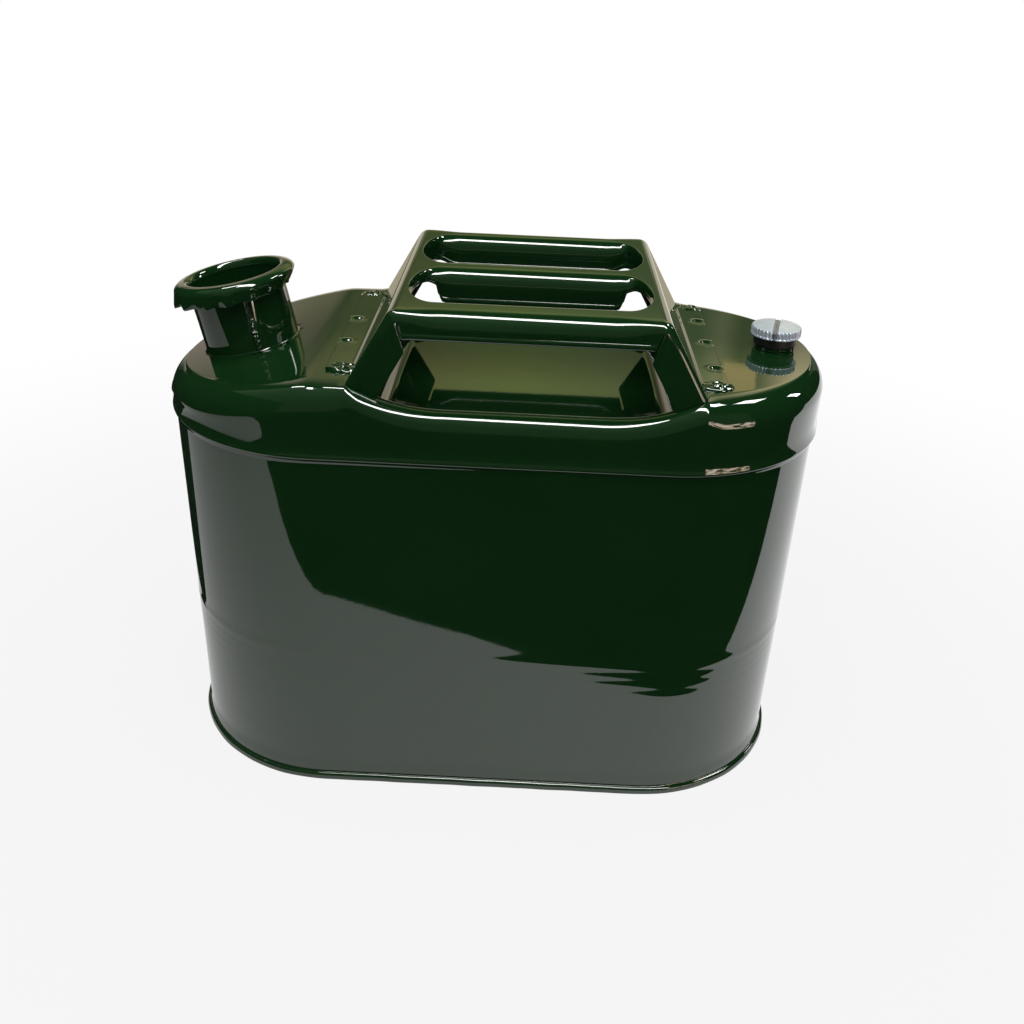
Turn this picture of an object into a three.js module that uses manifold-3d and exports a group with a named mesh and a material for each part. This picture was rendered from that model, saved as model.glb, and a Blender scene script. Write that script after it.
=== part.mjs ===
// Ten-litre steel fuel can: oval welded body, pressed top with a hand well, three-bar
// carrying handle, leaning filler neck and a vent screw with a rubber washer.
// Millimetres, +Z up. The origin is the middle of the foot rim, on the surface it stands on.
// The filler neck is at -X, the vent screw at +X, and the front long side faces -Y.
import * as THREE from 'three';
import { mergeVertices } from 'three/addons/utils/BufferGeometryUtils.js';
import Module from 'manifold-3d';

// Sheet and clearance
const SHEET = 1.2;                 // thickness of every pressed or rolled sheet
const GAP = 0.3;                   // standing clearance between neighbouring pieces

// Body wall, an oval with half-round ends
const BODY_LENGTH = 340;
const BODY_WIDTH = 168;
const WALL_LAP = 6;                // how far the wall reaches up inside the cover's skirt

// Bottom pan and its rolled foot rim
const FOOT_RIM_PROUD = 3;          // the roll stands this far outside the wall
const FOOT_RIM_HEIGHT = 5;
const FOOT_FLAT = 6;               // width of the flat that stands on the floor, inside the wall
const PAN_RECESS = 4;              // the pan's floor is held this far off the ground
const PAN_UPSTAND = 12;            // top of the pan's upstand inside the wall

// Top cover
const PLATEAU_HEIGHT = 234;        // level part of the top
const COVER_DEPTH = 36;            // from the plateau down to the lip of the skirt
const SHOULDER_RADIUS = 8.4;
const PAD_MARGIN = 9;              // level strip between the handle's foot and the neck's pad
const PAD_SLOPE = THREE.MathUtils.degToRad(11.5);

// Hand well pressed into the middle of the cover, between the handle's legs
const WELL_DEPTH = 20;
const WELL_WALL_RUN = 19;          // plan length of the well's sloping end walls
const RIM_DROP = 11.5;             // the long sides dip this far below the plateau
const RIM_RUN = 46;                // plan length over which they dip
const RIM_CREST = 2;               // level strip on top of the dipped rim
const RIM_SLOPE_RUN = 11;          // plan width of the rim's inner slope
const RIM_START_ROUNDING = 0.05;   // share of the dip's run taken by the rounding at its start
const RIM_EASING = 2.4;            // power that eases the dip into its level middle

// Carrying handle, one pressing
const HANDLE_X = 16.5;             // the handle and the well share this middle
const HANDLE_RISE = 36;            // top of the bars over the plateau
const HANDLE_SETBACK = 6;          // front and rear edges behind the body's long sides
const HANDLE_TOP_LENGTH = 127;     // between the top bends
const LEG_LEAN = THREE.MathUtils.degToRad(30);
const TOP_BEND_RADIUS = 6;
const BAR_WIDTH = 21.5;
const BAR_EDGE_RADIUS = 5;
const OUTER_FLANGE = 13;           // depth of the turned-down front and rear edges
const SLOT_FLANGE = 17;            // depth of the turned-down edges along the finger slots
const SLOT_END_FLANGE = 7.5;       // the same at the ends of the middle bar
const LEG_FLANGE = 15.6;           // width of the turned-in edges of the legs
const SLOT_END_BAR = 5;            // sheet between a slot's end and the top bend
const NOTCH_WIDTH = 6;             // relief where a bar's flange meets a leg's flange
const NOTCH_ROOT = 4.5;            // sheet left outside the relief
const FOOT_WIDTH = 13;
const FOOT_SETBACK = 18;           // ends of the feet behind the handle's edges

// Weld deposits at the ends of the handle's feet
const TACK_LENGTH = 11;
const TACK_WIDTH = 8;
const TACK_HEIGHT = 2.4;

// Filler neck, square to the sloping pad
const NECK_END_DISTANCE = 40;      // neck's middle, in from the body's end
const NECK_DIAMETER = 48.8;
const NECK_HEIGHT = 33;
const NECK_TAIL = 6;               // tube left inside the can
const COLLAR_OVERHANG = 7.1;       // collar's edge outside the tube
const COLLAR_CROWN = 4;            // height of the collar's roll over the tube's end
const COLLAR_SKIRT = 5;            // drop of the collar's skirt
const SCALLOPS = 17;
const SCALLOP_DEPTH = 1.2;
const ROOT_WELD = 2.6;             // leg of the fillet round the neck's root
const SEAM_ANGLE = THREE.MathUtils.degToRad(-67);   // seam's place round the tube, from +X
const SEAM_WIDTH = 3;
const SEAM_PROUD = 0.8;

// Vent screw, its boss and washer
const VENT_END_DISTANCE = 24.5;    // vent's middle, in from the body's end
const VENT_Y = 3;
const BOSS_DIAMETER = 21;
const BOSS_HEIGHT = 1.4;
const BOSS_HUB_WALL = 2.9;
const BOSS_HUB_LENGTH = 12;        // hub below the plateau's outer face
const SHANK_DIAMETER = 9.6;
const VENT_TRAVEL = 6;             // four turns of a 1.5 mm thread
const STOP_CLEARANCE = 0.6;        // left between stop ring and hub at full travel
const WASHER_DIAMETER = 22;
const WASHER_HEIGHT = 4.8;
const HEAD_DIAMETER = 25.8;
const HEAD_RIM = 4.4;              // height of the knurled edge
const HEAD_CROWN = 1.3;
const KNURLS = 40;
const KNURL_DEPTH = 0.5;
const DRIVE_SLOT_WIDTH = 2.8;
const DRIVE_SLOT_DEPTH = 2;
const DRIVE_SLOT_TURN = THREE.MathUtils.degToRad(75);
const STOP_RING_WIDTH = 2.4;
const STOP_RING_HEIGHT = 1.5;

// Facets
const END_STEPS = 20;              // steps round each half-round end of the body
const BEAD_STEPS = 6;              // steps round the foot rim's roll
const SHOULDER_STEPS = 4;
const WALL_STEPS = 7;              // steps down each end wall of the well
const RIM_STEPS = 3;               // steps along the rest of the rim's dip
const RIM_SLOPE_STEPS = 4;         // steps down the rim's inner slope
const LEAST_STATION = 0.6;         // closest that two cross-sections of the cover may lie
const EDGE_STEPS = 3;              // steps round the handle's rolled edges
const SLOT_STEPS = 12;             // steps round each end of a finger slot
const TACK_STEPS = 10;             // steps up each lump of weld
const ROUND_STEPS = 40;            // steps round the neck's and the vent's pieces
const COLLAR_STEPS = 6;            // steps over the collar's roll
const SCALLOP_STEPS = 5;           // steps along each scallop of the collar
const SEAM_STEPS = 6;              // steps across a weld line
const JOIN_DISTANCE = 1e-4;        // points closer than this are one point
const CUT_BEYOND = 1;              // a cutting solid reaches this far past what it cuts

const wasm = await Module();
wasm.setup();

// Geometry helpers

const lerp = THREE.MathUtils.lerp;
const ramp = THREE.MathUtils.smoothstep;

/** A range of n + 1 numbers from a to b. */
function spread(a, b, n) {
  return Array.from({ length: n + 1 }, (_, i) => lerp(a, b, i / n));
}

/** Closed geometry from points and triangles, with shared points joined and slivers dropped. */
function closedGeometry(points, triangles) {
  const geometry = new THREE.BufferGeometry();
  geometry.setAttribute('position', new THREE.Float32BufferAttribute(points.flat(), 3));
  geometry.setIndex(triangles.flat());
  return tidied(geometry);
}

/** Keeps positions only, joins equal points and drops triangles that have lost a corner. */
function tidied(geometry) {
  const bare = geometry.clone();
  bare.deleteAttribute('normal');
  bare.deleteAttribute('uv');
  const joined = mergeVertices(bare, JOIN_DISTANCE);
  const index = joined.getIndex().array;
  const kept = [];
  for (let i = 0; i < index.length; i += 3) {
    const [a, b, c] = [index[i], index[i + 1], index[i + 2]];
    if (a !== b && b !== c && c !== a) kept.push(a, b, c);
  }
  joined.setIndex(kept);
  return joined;
}

/** A stack of like rings of [x, y, z], counter-clockwise from above, closed at both ends. */
function stack(rings) {
  const count = rings[0].length;
  const triangles = [];
  for (let k = 0; k + 1 < rings.length; k += 1) {
    for (let i = 0; i < count; i += 1) {
      const a = k * count + i;
      const b = k * count + ((i + 1) % count);
      triangles.push([a, b, b + count], [a, b + count, a + count]);
    }
  }
  const cap = (ring) => {
    const outline = ring.map(([x, y]) => new THREE.Vector2(x, y));
    return THREE.ShapeUtils.triangulateShape(outline, []);
  };
  const last = (rings.length - 1) * count;
  for (const [a, b, c] of cap(rings[0])) triangles.push([a, c, b]);
  for (const [a, b, c] of cap(rings.at(-1))) triangles.push([last + a, last + b, last + c]);
  return closedGeometry(rings.flat(), triangles);
}

/** A solid turned about Z from a closed outline of [radius, z], counter-clockwise in that plane. */
function turned(outline, steps = ROUND_STEPS) {
  const points = outline.concat([outline[0]]).map(([r, z]) => new THREE.Vector2(r, z));
  return tidied(new THREE.LatheGeometry(points, steps).rotateX(Math.PI / 2));
}

/** A plain round bar along Z. */
function rod(radius, low, high) {
  const bar = new THREE.CylinderGeometry(radius, radius, high - low, ROUND_STEPS).rotateX(Math.PI / 2);
  return tidied(bar.translate(0, 0, (low + high) / 2));
}

/** A box between two corners. */
function block([x0, y0, z0], [x1, y1, z1]) {
  const box = new THREE.BoxGeometry(x1 - x0, y1 - y0, z1 - z0);
  return tidied(box.translate((x0 + x1) / 2, (y0 + y1) / 2, (z0 + z1) / 2));
}

function toSolid(geometry) {
  return new wasm.Manifold(new wasm.Mesh({
    numProp: 3,
    vertProperties: new Float32Array(geometry.getAttribute('position').array),
    triVerts: new Uint32Array(geometry.getIndex().array),
  }));
}

function toGeometry(solid) {
  const mesh = solid.getMesh();
  const geometry = new THREE.BufferGeometry();
  geometry.setAttribute('position', new THREE.BufferAttribute(mesh.vertProperties, 3));
  geometry.setIndex(new THREE.BufferAttribute(mesh.triVerts, 1));
  return geometry;
}

// The oval plan of the body

const END_RADIUS = BODY_WIDTH / 2;
const END_X = BODY_LENGTH / 2 - END_RADIUS;
const quarter = Math.PI / 2;

/** The oval grown by an offset, at a height, counter-clockwise from above. */
function oval(offset, z) {
  const radius = END_RADIUS + offset;
  const end = (middle, from) => spread(from, from + Math.PI, END_STEPS)
    .map((a) => [middle + radius * Math.cos(a), radius * Math.sin(a), z]);
  return [...end(END_X, -quarter), ...end(-END_X, quarter)];
}

// The handle's main lines, which the well and the neck's pad follow

const LIP_HEIGHT = PLATEAU_HEIGHT - COVER_DEPTH;
const HANDLE_TOP = PLATEAU_HEIGHT + HANDLE_RISE;
const HANDLE_DEPTH = BODY_WIDTH - 2 * HANDLE_SETBACK;
const FOOT_LENGTH = HANDLE_DEPTH - 2 * FOOT_SETBACK;
const FOOT_UNDER = PLATEAU_HEIGHT + GAP;

/** Half length of the arch at a height, moved in square to the leg by an inset. */
function legReach(z, inset) {
  return HANDLE_TOP_LENGTH / 2 + (HANDLE_TOP - z) * Math.tan(LEG_LEAN) - inset / Math.cos(LEG_LEAN);
}

const FOOT_REACH = legReach(FOOT_UNDER + SHEET, 0) + FOOT_WIDTH;
const WELL_HALF = legReach(PLATEAU_HEIGHT, 0);
const PAD_START = HANDLE_X - FOOT_REACH - PAD_MARGIN;
const NECK_X = NECK_END_DISTANCE - BODY_LENGTH / 2;
const VENT_X = BODY_LENGTH / 2 - VENT_END_DISTANCE;

// Body wall

const WALL_FOOT = FOOT_RIM_HEIGHT + GAP;
const WALL_TOP = LIP_HEIGHT + WALL_LAP;

function bodyWall() {
  const outer = toSolid(stack([oval(0, WALL_FOOT), oval(0, WALL_TOP)]));
  const bore = [WALL_FOOT - CUT_BEYOND, WALL_TOP + CUT_BEYOND].map((z) => oval(-SHEET, z));
  const inner = toSolid(stack(bore));
  return toGeometry(outer.subtract(inner));
}

// Bottom pan: a raised floor, an upstand inside the wall and a foot rim rolled out under it

function bottomPan() {
  const mid = FOOT_RIM_HEIGHT / 2;
  const bead = spread(-quarter, quarter, BEAD_STEPS)
    .map((a) => [FOOT_RIM_PROUD - mid + mid * Math.cos(a), mid + mid * Math.sin(a)]);
  const seat = -SHEET - GAP;
  const profile = [
    [-FOOT_FLAT - PAN_RECESS, PAN_RECESS],
    [-FOOT_FLAT, 0],
    ...bead,
    [seat, FOOT_RIM_HEIGHT],
    [seat, PAN_UPSTAND],
    [seat - SHEET, PAN_UPSTAND],
    [seat - SHEET, PAN_RECESS + 2 * SHEET],
    [-FOOT_FLAT - PAN_RECESS, PAN_RECESS + SHEET],
  ];
  return stack(profile.map(([offset, z]) => oval(offset, z)));
}

// Top cover: heights of its outer face

const SKIRT_OFFSET = GAP + SHEET;
const SHOULDER_INSET = SKIRT_OFFSET - SHOULDER_RADIUS;

/** How far a place on the long axis lies inside the end of the well. */
const insideWell = (x) => WELL_HALF - Math.abs(x - HANDLE_X);

const levelHeight = (x) => PLATEAU_HEIGHT - Math.max(0, PAD_START - x) * Math.tan(PAD_SLOPE);

/** Height of the rim along the long sides: level, then a quick dip that eases into the middle. */
function rimHeight(x) {
  const t = THREE.MathUtils.clamp(insideWell(x) / RIM_RUN, 0, 1);
  const rounded = (t * t) / (t + RIM_START_ROUNDING);
  const share = 1 - Math.pow(Math.max(0, 1 - rounded), RIM_EASING);
  return levelHeight(x) - RIM_DROP * share;
}

const floorHeight = (x) => levelHeight(x) - WELL_DEPTH * ramp(insideWell(x), 0, WELL_WALL_RUN);

/** Height inside the shoulder, at a distance in from it. */
function topHeight(x, inward) {
  return lerp(rimHeight(x), floorHeight(x), ramp(inward, RIM_CREST, RIM_CREST + RIM_SLOPE_RUN));
}

/** Places along the long axis where the cover's cross-sections are taken. */
function coverStations() {
  const inner = END_RADIUS + SHOULDER_INSET;
  const ends = spread(0, quarter, END_STEPS / 2).map((a) => END_X + inner * Math.cos(a));
  const steps = spread(0, WELL_WALL_RUN, WALL_STEPS);
  const rims = spread(WELL_WALL_RUN, RIM_RUN, RIM_STEPS);
  const well = [...steps, ...rims, WELL_HALF].map((d) => WELL_HALF - d);
  const places = [
    ...ends, ...ends.map((x) => -x), PAD_START,
    ...well.map((d) => HANDLE_X + d), ...well.map((d) => HANDLE_X - d),
  ].sort((a, b) => a - b);
  const tip = END_X + inner - LEAST_STATION;
  return places.filter((x, i) => i === 0 || x - places[i - 1] > LEAST_STATION || Math.abs(x) > tip);
}

/** The cover as a filled block, its face moved out by grow, down to a flat foot. */
function coverBlock(grow, foot) {
  const inner = END_RADIUS + SHOULDER_INSET;
  const section = (x) => {
    const past = Math.max(0, Math.abs(x) - END_X);
    const turn = Math.acos(THREE.MathUtils.clamp(past / inner, -1, 1));
    const out = [Math.sign(x) * Math.cos(turn), Math.sin(turn)];
    const axis = x - out[0] * inner;
    const rim = rimHeight(x);
    const side = (offset, z) => {
      const radius = END_RADIUS + offset;
      return [axis + out[0] * radius, out[1] * radius, z];
    };
    const rows = [side(SKIRT_OFFSET + grow, foot)];
    const round = SHOULDER_RADIUS + grow;
    for (const a of spread(0, quarter, SHOULDER_STEPS)) {
      rows.push(side(SHOULDER_INSET + round * Math.cos(a), rim - SHOULDER_RADIUS + round * Math.sin(a)));
    }
    const reach = out[1] * inner;
    const shrink = reach / inner;
    for (const inward of spread(RIM_CREST, RIM_CREST + RIM_SLOPE_RUN, RIM_SLOPE_STEPS)) {
      rows.push([x, reach - inward * shrink, topHeight(x, inward) + grow]);
    }
    const front = rows.map(([px, py, pz]) => [px, -py, pz]);
    return [...front, [x, 0, floorHeight(x) + grow], ...rows.reverse()];
  };
  const sections = coverStations().map(section);
  const count = sections[0].length;
  const triangles = [];
  for (let k = 0; k + 1 < sections.length; k += 1) {
    const [near, far] = [k * count, (k + 1) * count];
    for (let j = 0; j + 1 < count; j += 1) {
      triangles.push([near + j, far + j, far + j + 1], [near + j, far + j + 1, near + j + 1]);
    }
    const end = count - 1;
    triangles.push([near, near + end, far + end], [near, far + end, far]);
  }
  return toSolid(closedGeometry(sections.flat(), triangles));
}

// Frames of the pieces that stand on the cover

const neckFrame = new THREE.Group();
neckFrame.position.set(NECK_X, 0, levelHeight(NECK_X));
neckFrame.rotation.y = -PAD_SLOPE;
neckFrame.updateMatrix();

const ventFrame = new THREE.Group();
ventFrame.position.set(VENT_X, VENT_Y, PLATEAU_HEIGHT);
ventFrame.updateMatrix();

const NECK_RADIUS = NECK_DIAMETER / 2;
const SHANK_RADIUS = SHANK_DIAMETER / 2;
const BORE_RADIUS = SHANK_RADIUS + GAP;
const HUB_RADIUS = BORE_RADIUS + BOSS_HUB_WALL;

function topCover() {
  const shell = coverBlock(0, LIP_HEIGHT).subtract(coverBlock(-SHEET, LIP_HEIGHT - CUT_BEYOND));
  const deep = WELL_DEPTH + SHEET;
  const neckHole = rod(NECK_RADIUS + GAP, -deep, deep).applyMatrix4(neckFrame.matrix);
  const ventHole = rod(HUB_RADIUS + GAP, -deep, deep).applyMatrix4(ventFrame.matrix);
  return toGeometry(shell.subtract(toSolid(neckHole)).subtract(toSolid(ventHole)));
}

// Carrying handle

const HANDLE_LOW = PLATEAU_HEIGHT - WELL_DEPTH;
const SPACE_LOW = HANDLE_LOW - SHEET - CUT_BEYOND;
const SLOT_LENGTH = HANDLE_TOP_LENGTH - 2 * SLOT_END_BAR;
const SLOT_HALF_WIDTH = (HANDLE_DEPTH / 2 - 1.5 * BAR_WIDTH) / 2;
const SLOT_Y = BAR_WIDTH / 2 + SLOT_HALF_WIDTH;

/** The arch seen from the front as a ring of [x, z], its top corners rounded, moved in by an inset. */
function archRing(inset, low, depth) {
  const bend = HANDLE_TOP_LENGTH / 2 - TOP_BEND_RADIUS * (1 / Math.cos(LEG_LEAN) - Math.tan(LEG_LEAN));
  const radius = TOP_BEND_RADIUS - inset;
  const corner = (middle, from, to) => spread(from, to, EDGE_STEPS)
    .map((a) => [middle + radius * Math.cos(a), HANDLE_TOP - TOP_BEND_RADIUS + radius * Math.sin(a), depth]);
  return [
    [-legReach(low, inset), low, depth],
    [legReach(low, inset), low, depth],
    ...corner(bend, LEG_LEAN, quarter),
    ...corner(-bend, quarter, Math.PI - LEG_LEAN),
  ];
}

/** Rings drawn in [x, z] and stacked front to back, stood up and moved to the handle's middle. */
const standUp = (rings) => toSolid(stack(rings).rotateX(quarter).translate(HANDLE_X, 0, 0));

/** The filled arch with rolled front and rear edges, moved in by an inset. */
function archBlock(inset, low) {
  const half = HANDLE_DEPTH / 2;
  const edge = BAR_EDGE_RADIUS - inset;
  const roll = spread(0, quarter, EDGE_STEPS)
    .map((a) => [half - BAR_EDGE_RADIUS + edge * Math.cos(a), BAR_EDGE_RADIUS - edge * Math.sin(a)]);
  const rings = roll.map(([depth, moved]) => archRing(moved, low, -depth));
  const back = roll.map(([depth, moved]) => archRing(moved, low, depth)).reverse();
  return standUp([...rings, ...back]);
}

/** A filled finger slot whose upper edge flares out over the rolled edges of the bars. */
function slotBlock(y, inset) {
  const edge = BAR_EDGE_RADIUS - inset;
  const flare = spread(quarter, 0, EDGE_STEPS)
    .map((a) => [BAR_EDGE_RADIUS - edge * Math.sin(a), HANDLE_TOP - BAR_EDGE_RADIUS + edge * Math.cos(a)]);
  const middle = SLOT_LENGTH / 2 - SLOT_HALF_WIDTH;
  const ring = ([grow, z]) => {
    const radius = SLOT_HALF_WIDTH + grow;
    const end = (x, from) => spread(from, from + Math.PI, SLOT_STEPS)
      .map((a) => [HANDLE_X + x + radius * Math.cos(a), y + radius * Math.sin(a), z]);
    return [...end(middle, -quarter), ...end(-middle, quarter)];
  };
  const through = [[inset, SPACE_LOW], ...flare, [BAR_EDGE_RADIUS, HANDLE_TOP + CUT_BEYOND]];
  return toSolid(stack(through.map(ring)));
}

/** The same [x, z] corners on the other side, in an order that keeps the ring's direction. */
const flipped = (corners) => corners.map(([x, z]) => [-x, z]).reverse();

/** A ring of [x, z] corners from those of its right half, listed upwards. */
const mirrored = (right) => [...right, ...flipped(right)];

/** Prism of the given [x, z] corners about the handle's middle, between two depths. */
function handlePrism(corners, from, to) {
  return standUp([from, to].map((depth) => corners.map(([x, z]) => [x, z, depth])));
}

/** The opening under the front and rear edges, between the flanges of the legs. */
function throughSpace() {
  const roof = HANDLE_TOP - OUTER_FLANGE;
  const half = (z) => legReach(z, LEG_FLANGE);
  const right = [[half(SPACE_LOW), SPACE_LOW], [half(roof), roof]];
  return handlePrism(mirrored(right), -HANDLE_DEPTH, HANDLE_DEPTH);
}

/** The space inside the pressing, below the flanges of the slots. */
function innerSpace() {
  const roof = HANDLE_TOP - SLOT_FLANGE;
  const half = (z) => legReach(z, SHEET);
  const right = [[half(SPACE_LOW), SPACE_LOW], [half(roof), roof]];
  const inside = HANDLE_DEPTH / 2 - SHEET;
  return handlePrism(mirrored(right), -inside, inside);
}

/** The rise of that space at one end of the middle bar, whose flanges stop short of the slots' ends. */
function endSpace(side) {
  const [roof, endRoof] = [HANDLE_TOP - SLOT_FLANGE, HANDLE_TOP - SLOT_END_FLANGE];
  const low = roof - CUT_BEYOND;
  const straight = SLOT_LENGTH / 2 - SLOT_HALF_WIDTH / 2;
  const taper = (SLOT_FLANGE - SLOT_END_FLANGE) / 2;
  const corners = [
    [straight - taper, low],
    [legReach(low, SHEET), low],
    [legReach(endRoof, SHEET), endRoof],
    [straight, endRoof],
    [straight - taper, roof],
  ];
  return handlePrism(side > 0 ? corners : flipped(corners), -SLOT_Y, SLOT_Y);
}

/** Relief between the flange of a bar and the flange of a leg, in the front or the rear edge. */
function notch(side, end) {
  const low = HANDLE_TOP - OUTER_FLANGE;
  const inner = legReach(low, LEG_FLANGE);
  const apex = HANDLE_TOP - NOTCH_ROOT;
  const corners = [
    [inner - SHEET, low - SHEET],
    [inner + NOTCH_WIDTH * Math.sin(LEG_LEAN), low - NOTCH_WIDTH * Math.cos(LEG_LEAN)],
    [legReach(apex, NOTCH_ROOT), apex],
  ];
  const placed = side > 0 ? corners : flipped(corners);
  const half = HANDLE_DEPTH / 2;
  const depths = [half - BAR_EDGE_RADIUS, half + CUT_BEYOND].map((depth) => end * depth);
  return handlePrism(placed, Math.min(...depths), Math.max(...depths));
}

/** Corners of one turned-out foot, grown all round by a clearance. */
function footBlock(side, clearance) {
  const inner = legReach(FOOT_UNDER + SHEET, SHEET);
  const [near, far] = [side * inner, side * FOOT_REACH].sort((a, b) => a - b);
  const half = FOOT_LENGTH / 2 + clearance;
  return block(
    [HANDLE_X + near - clearance, -half, FOOT_UNDER - clearance],
    [HANDLE_X + far + clearance, half, FOOT_UNDER + SHEET + clearance],
  );
}

/** The whole pressing, kept within the cover's plan and standing clear on the cover. */
function carryHandle() {
  let outer = archBlock(0, HANDLE_LOW);
  let inner = archBlock(SHEET, HANDLE_LOW - SHEET);
  for (const y of [-SLOT_Y, SLOT_Y]) {
    outer = outer.subtract(slotBlock(y, 0));
    inner = inner.subtract(slotBlock(y, SHEET));
  }
  let shell = outer.subtract(inner).subtract(throughSpace()).subtract(innerSpace());
  for (const side of [-1, 1]) {
    for (const end of [-1, 1]) shell = shell.subtract(notch(side, end));
    shell = shell.subtract(endSpace(side)).add(toSolid(footBlock(side, 0)));
  }
  const plan = [SPACE_LOW, HANDLE_TOP + CUT_BEYOND].map((z) => oval(SKIRT_OFFSET, z));
  const trimmed = shell.intersect(toSolid(stack(plan)));
  return toGeometry(trimmed.subtract(coverBlock(GAP, LIP_HEIGHT)));
}

/** A lump of weld over one end of a foot, lying on the cover. */
function handleTack(side, end) {
  const lump = new THREE.SphereGeometry(1, 2 * TACK_STEPS, TACK_STEPS).rotateX(quarter);
  const reach = FOOT_REACH - FOOT_WIDTH / 2;
  const height = TACK_HEIGHT + GAP;
  lump.scale(TACK_LENGTH / 2, TACK_WIDTH / 2, height);
  lump.translate(HANDLE_X + side * reach, end * (FOOT_LENGTH / 2 + TACK_WIDTH / 4), PLATEAU_HEIGHT);
  const seated = toSolid(tidied(lump)).subtract(coverBlock(GAP, LIP_HEIGHT));
  return toGeometry(seated.subtract(toSolid(footBlock(side, GAP))));
}

// Filler neck

function fillerNeck() {
  const bore = NECK_RADIUS - SHEET;
  return turned([
    [bore, -NECK_TAIL], [NECK_RADIUS, -NECK_TAIL], [NECK_RADIUS, NECK_HEIGHT], [bore, NECK_HEIGHT],
  ]);
}

/** The collar: rolled over the end of the tube, then down into a skirt with a scalloped edge. */
function neckCollar() {
  const bore = NECK_RADIUS - SHEET;
  const rim = NECK_RADIUS + COLLAR_OVERHANG;
  const foot = NECK_HEIGHT + GAP;
  const crown = foot + COLLAR_CROWN;
  const middle = (bore + rim) / 2;
  const arch = (inset, from, to) => spread(from, to, COLLAR_STEPS).map((a) => [
    middle + ((rim - bore) / 2 - inset) * Math.cos(a),
    foot + (crown - foot - inset) * Math.sin(a),
  ]);
  const outside = arch(0, 0, Math.PI);
  const inside = arch(SHEET, Math.PI, 0);
  const hem = foot - COLLAR_SKIRT;
  const outline = [[rim - SHEET, hem], [rim, hem], ...outside, ...inside];
  const ring = turned(outline, SCALLOP_STEPS * SCALLOPS);
  const points = ring.getAttribute('position');
  for (let i = 0; i < points.count; i += 1) {
    const [x, y, z] = [points.getX(i), points.getY(i), points.getZ(i)];
    const wave = Math.cos(SCALLOPS * Math.atan2(y, x)) * ramp(foot - z, 0, COLLAR_SKIRT);
    const out = 1 + (SCALLOP_DEPTH * wave) / (2 * rim);
    points.setXYZ(i, x * out, y * out, z - SCALLOP_DEPTH * wave);
  }
  return ring;
}

/** A fillet of weld in the corner between a round piece and the sheet that it stands on. */
function filletRing(radius, leg) {
  const r = radius + GAP;
  return turned([[r, GAP], [r + leg, GAP], [r + leg / 3, GAP + leg / 3], [r, GAP + leg]]);
}

/** A raised weld line along Z, flat at the back, whose face looks along +X from a given distance. */
function weldLine(distance, width, proud, low, high) {
  const profile = new THREE.Shape();
  profile.moveTo(distance, -width / 2);
  profile.quadraticCurveTo(distance + 2 * proud, 0, distance, width / 2);
  profile.closePath();
  const line = new THREE.ExtrudeGeometry(profile, {
    depth: high - low, bevelEnabled: false, curveSegments: SEAM_STEPS, steps: 1,
  });
  return tidied(line.translate(0, 0, low));
}

function neckSeam() {
  const sagitta = NECK_RADIUS - Math.sqrt(NECK_RADIUS ** 2 - (SEAM_WIDTH / 2) ** 2);
  const low = ROOT_WELD + 2 * GAP;
  const line = weldLine(NECK_RADIUS + GAP, SEAM_WIDTH, SEAM_PROUD + sagitta, low, NECK_HEIGHT - GAP);
  return line.rotateZ(SEAM_ANGLE);
}

function bodySeam() {
  const line = weldLine(END_RADIUS + GAP, SEAM_WIDTH, SEAM_PROUD, WALL_FOOT + GAP, LIP_HEIGHT - GAP);
  return line.rotateZ(quarter);
}

// Vent

const BOSS_TOP = GAP + BOSS_HEIGHT;
const WASHER_FOOT = BOSS_TOP + GAP;
const HEAD_FOOT = WASHER_FOOT + WASHER_HEIGHT + GAP;
const STOP_TOP = -BOSS_HUB_LENGTH - VENT_TRAVEL - STOP_CLEARANCE;

function ventBoss() {
  return turned([
    [BORE_RADIUS, -BOSS_HUB_LENGTH], [HUB_RADIUS, -BOSS_HUB_LENGTH], [HUB_RADIUS, GAP],
    [BOSS_DIAMETER / 2, GAP], [BOSS_DIAMETER / 2, BOSS_TOP], [BORE_RADIUS, BOSS_TOP],
  ]);
}

function ventWasher() {
  const round = WASHER_HEIGHT / 6;
  const outer = WASHER_DIAMETER / 2;
  const top = WASHER_FOOT + WASHER_HEIGHT;
  return turned([
    [BORE_RADIUS, WASHER_FOOT], [outer - round, WASHER_FOOT], [outer, WASHER_FOOT + round],
    [outer, top - round], [outer - round, top], [BORE_RADIUS, top],
  ]);
}

function ventScrew() {
  const rim = HEAD_DIAMETER / 2;
  const knurled = (z) => spread(0, 2 * Math.PI, 2 * KNURLS).slice(0, -1).map((a, i) => {
    const radius = rim - (i % 2) * KNURL_DEPTH;
    return [radius * Math.cos(a), radius * Math.sin(a), z];
  });
  const plain = (radius, z) => spread(0, 2 * Math.PI, 2 * KNURLS).slice(0, -1)
    .map((a) => [radius * Math.cos(a), radius * Math.sin(a), z]);
  const top = HEAD_FOOT + HEAD_RIM;
  const head = stack([
    knurled(HEAD_FOOT), knurled(top), plain(rim - 2 * KNURL_DEPTH, top + KNURL_DEPTH),
    plain(rim / 2, top + HEAD_CROWN),
  ]);
  const shank = rod(SHANK_RADIUS, STOP_TOP - STOP_RING_HEIGHT - SHEET, HEAD_FOOT + HEAD_RIM / 2);
  const crown = top + HEAD_CROWN;
  const half = DRIVE_SLOT_WIDTH / 2;
  const slot = block([-rim, -half, crown - DRIVE_SLOT_DEPTH], [rim, half, crown + CUT_BEYOND]);
  const screw = toSolid(head).add(toSolid(shank));
  return toGeometry(screw.subtract(toSolid(slot.rotateZ(DRIVE_SLOT_TURN))));
}

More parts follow.
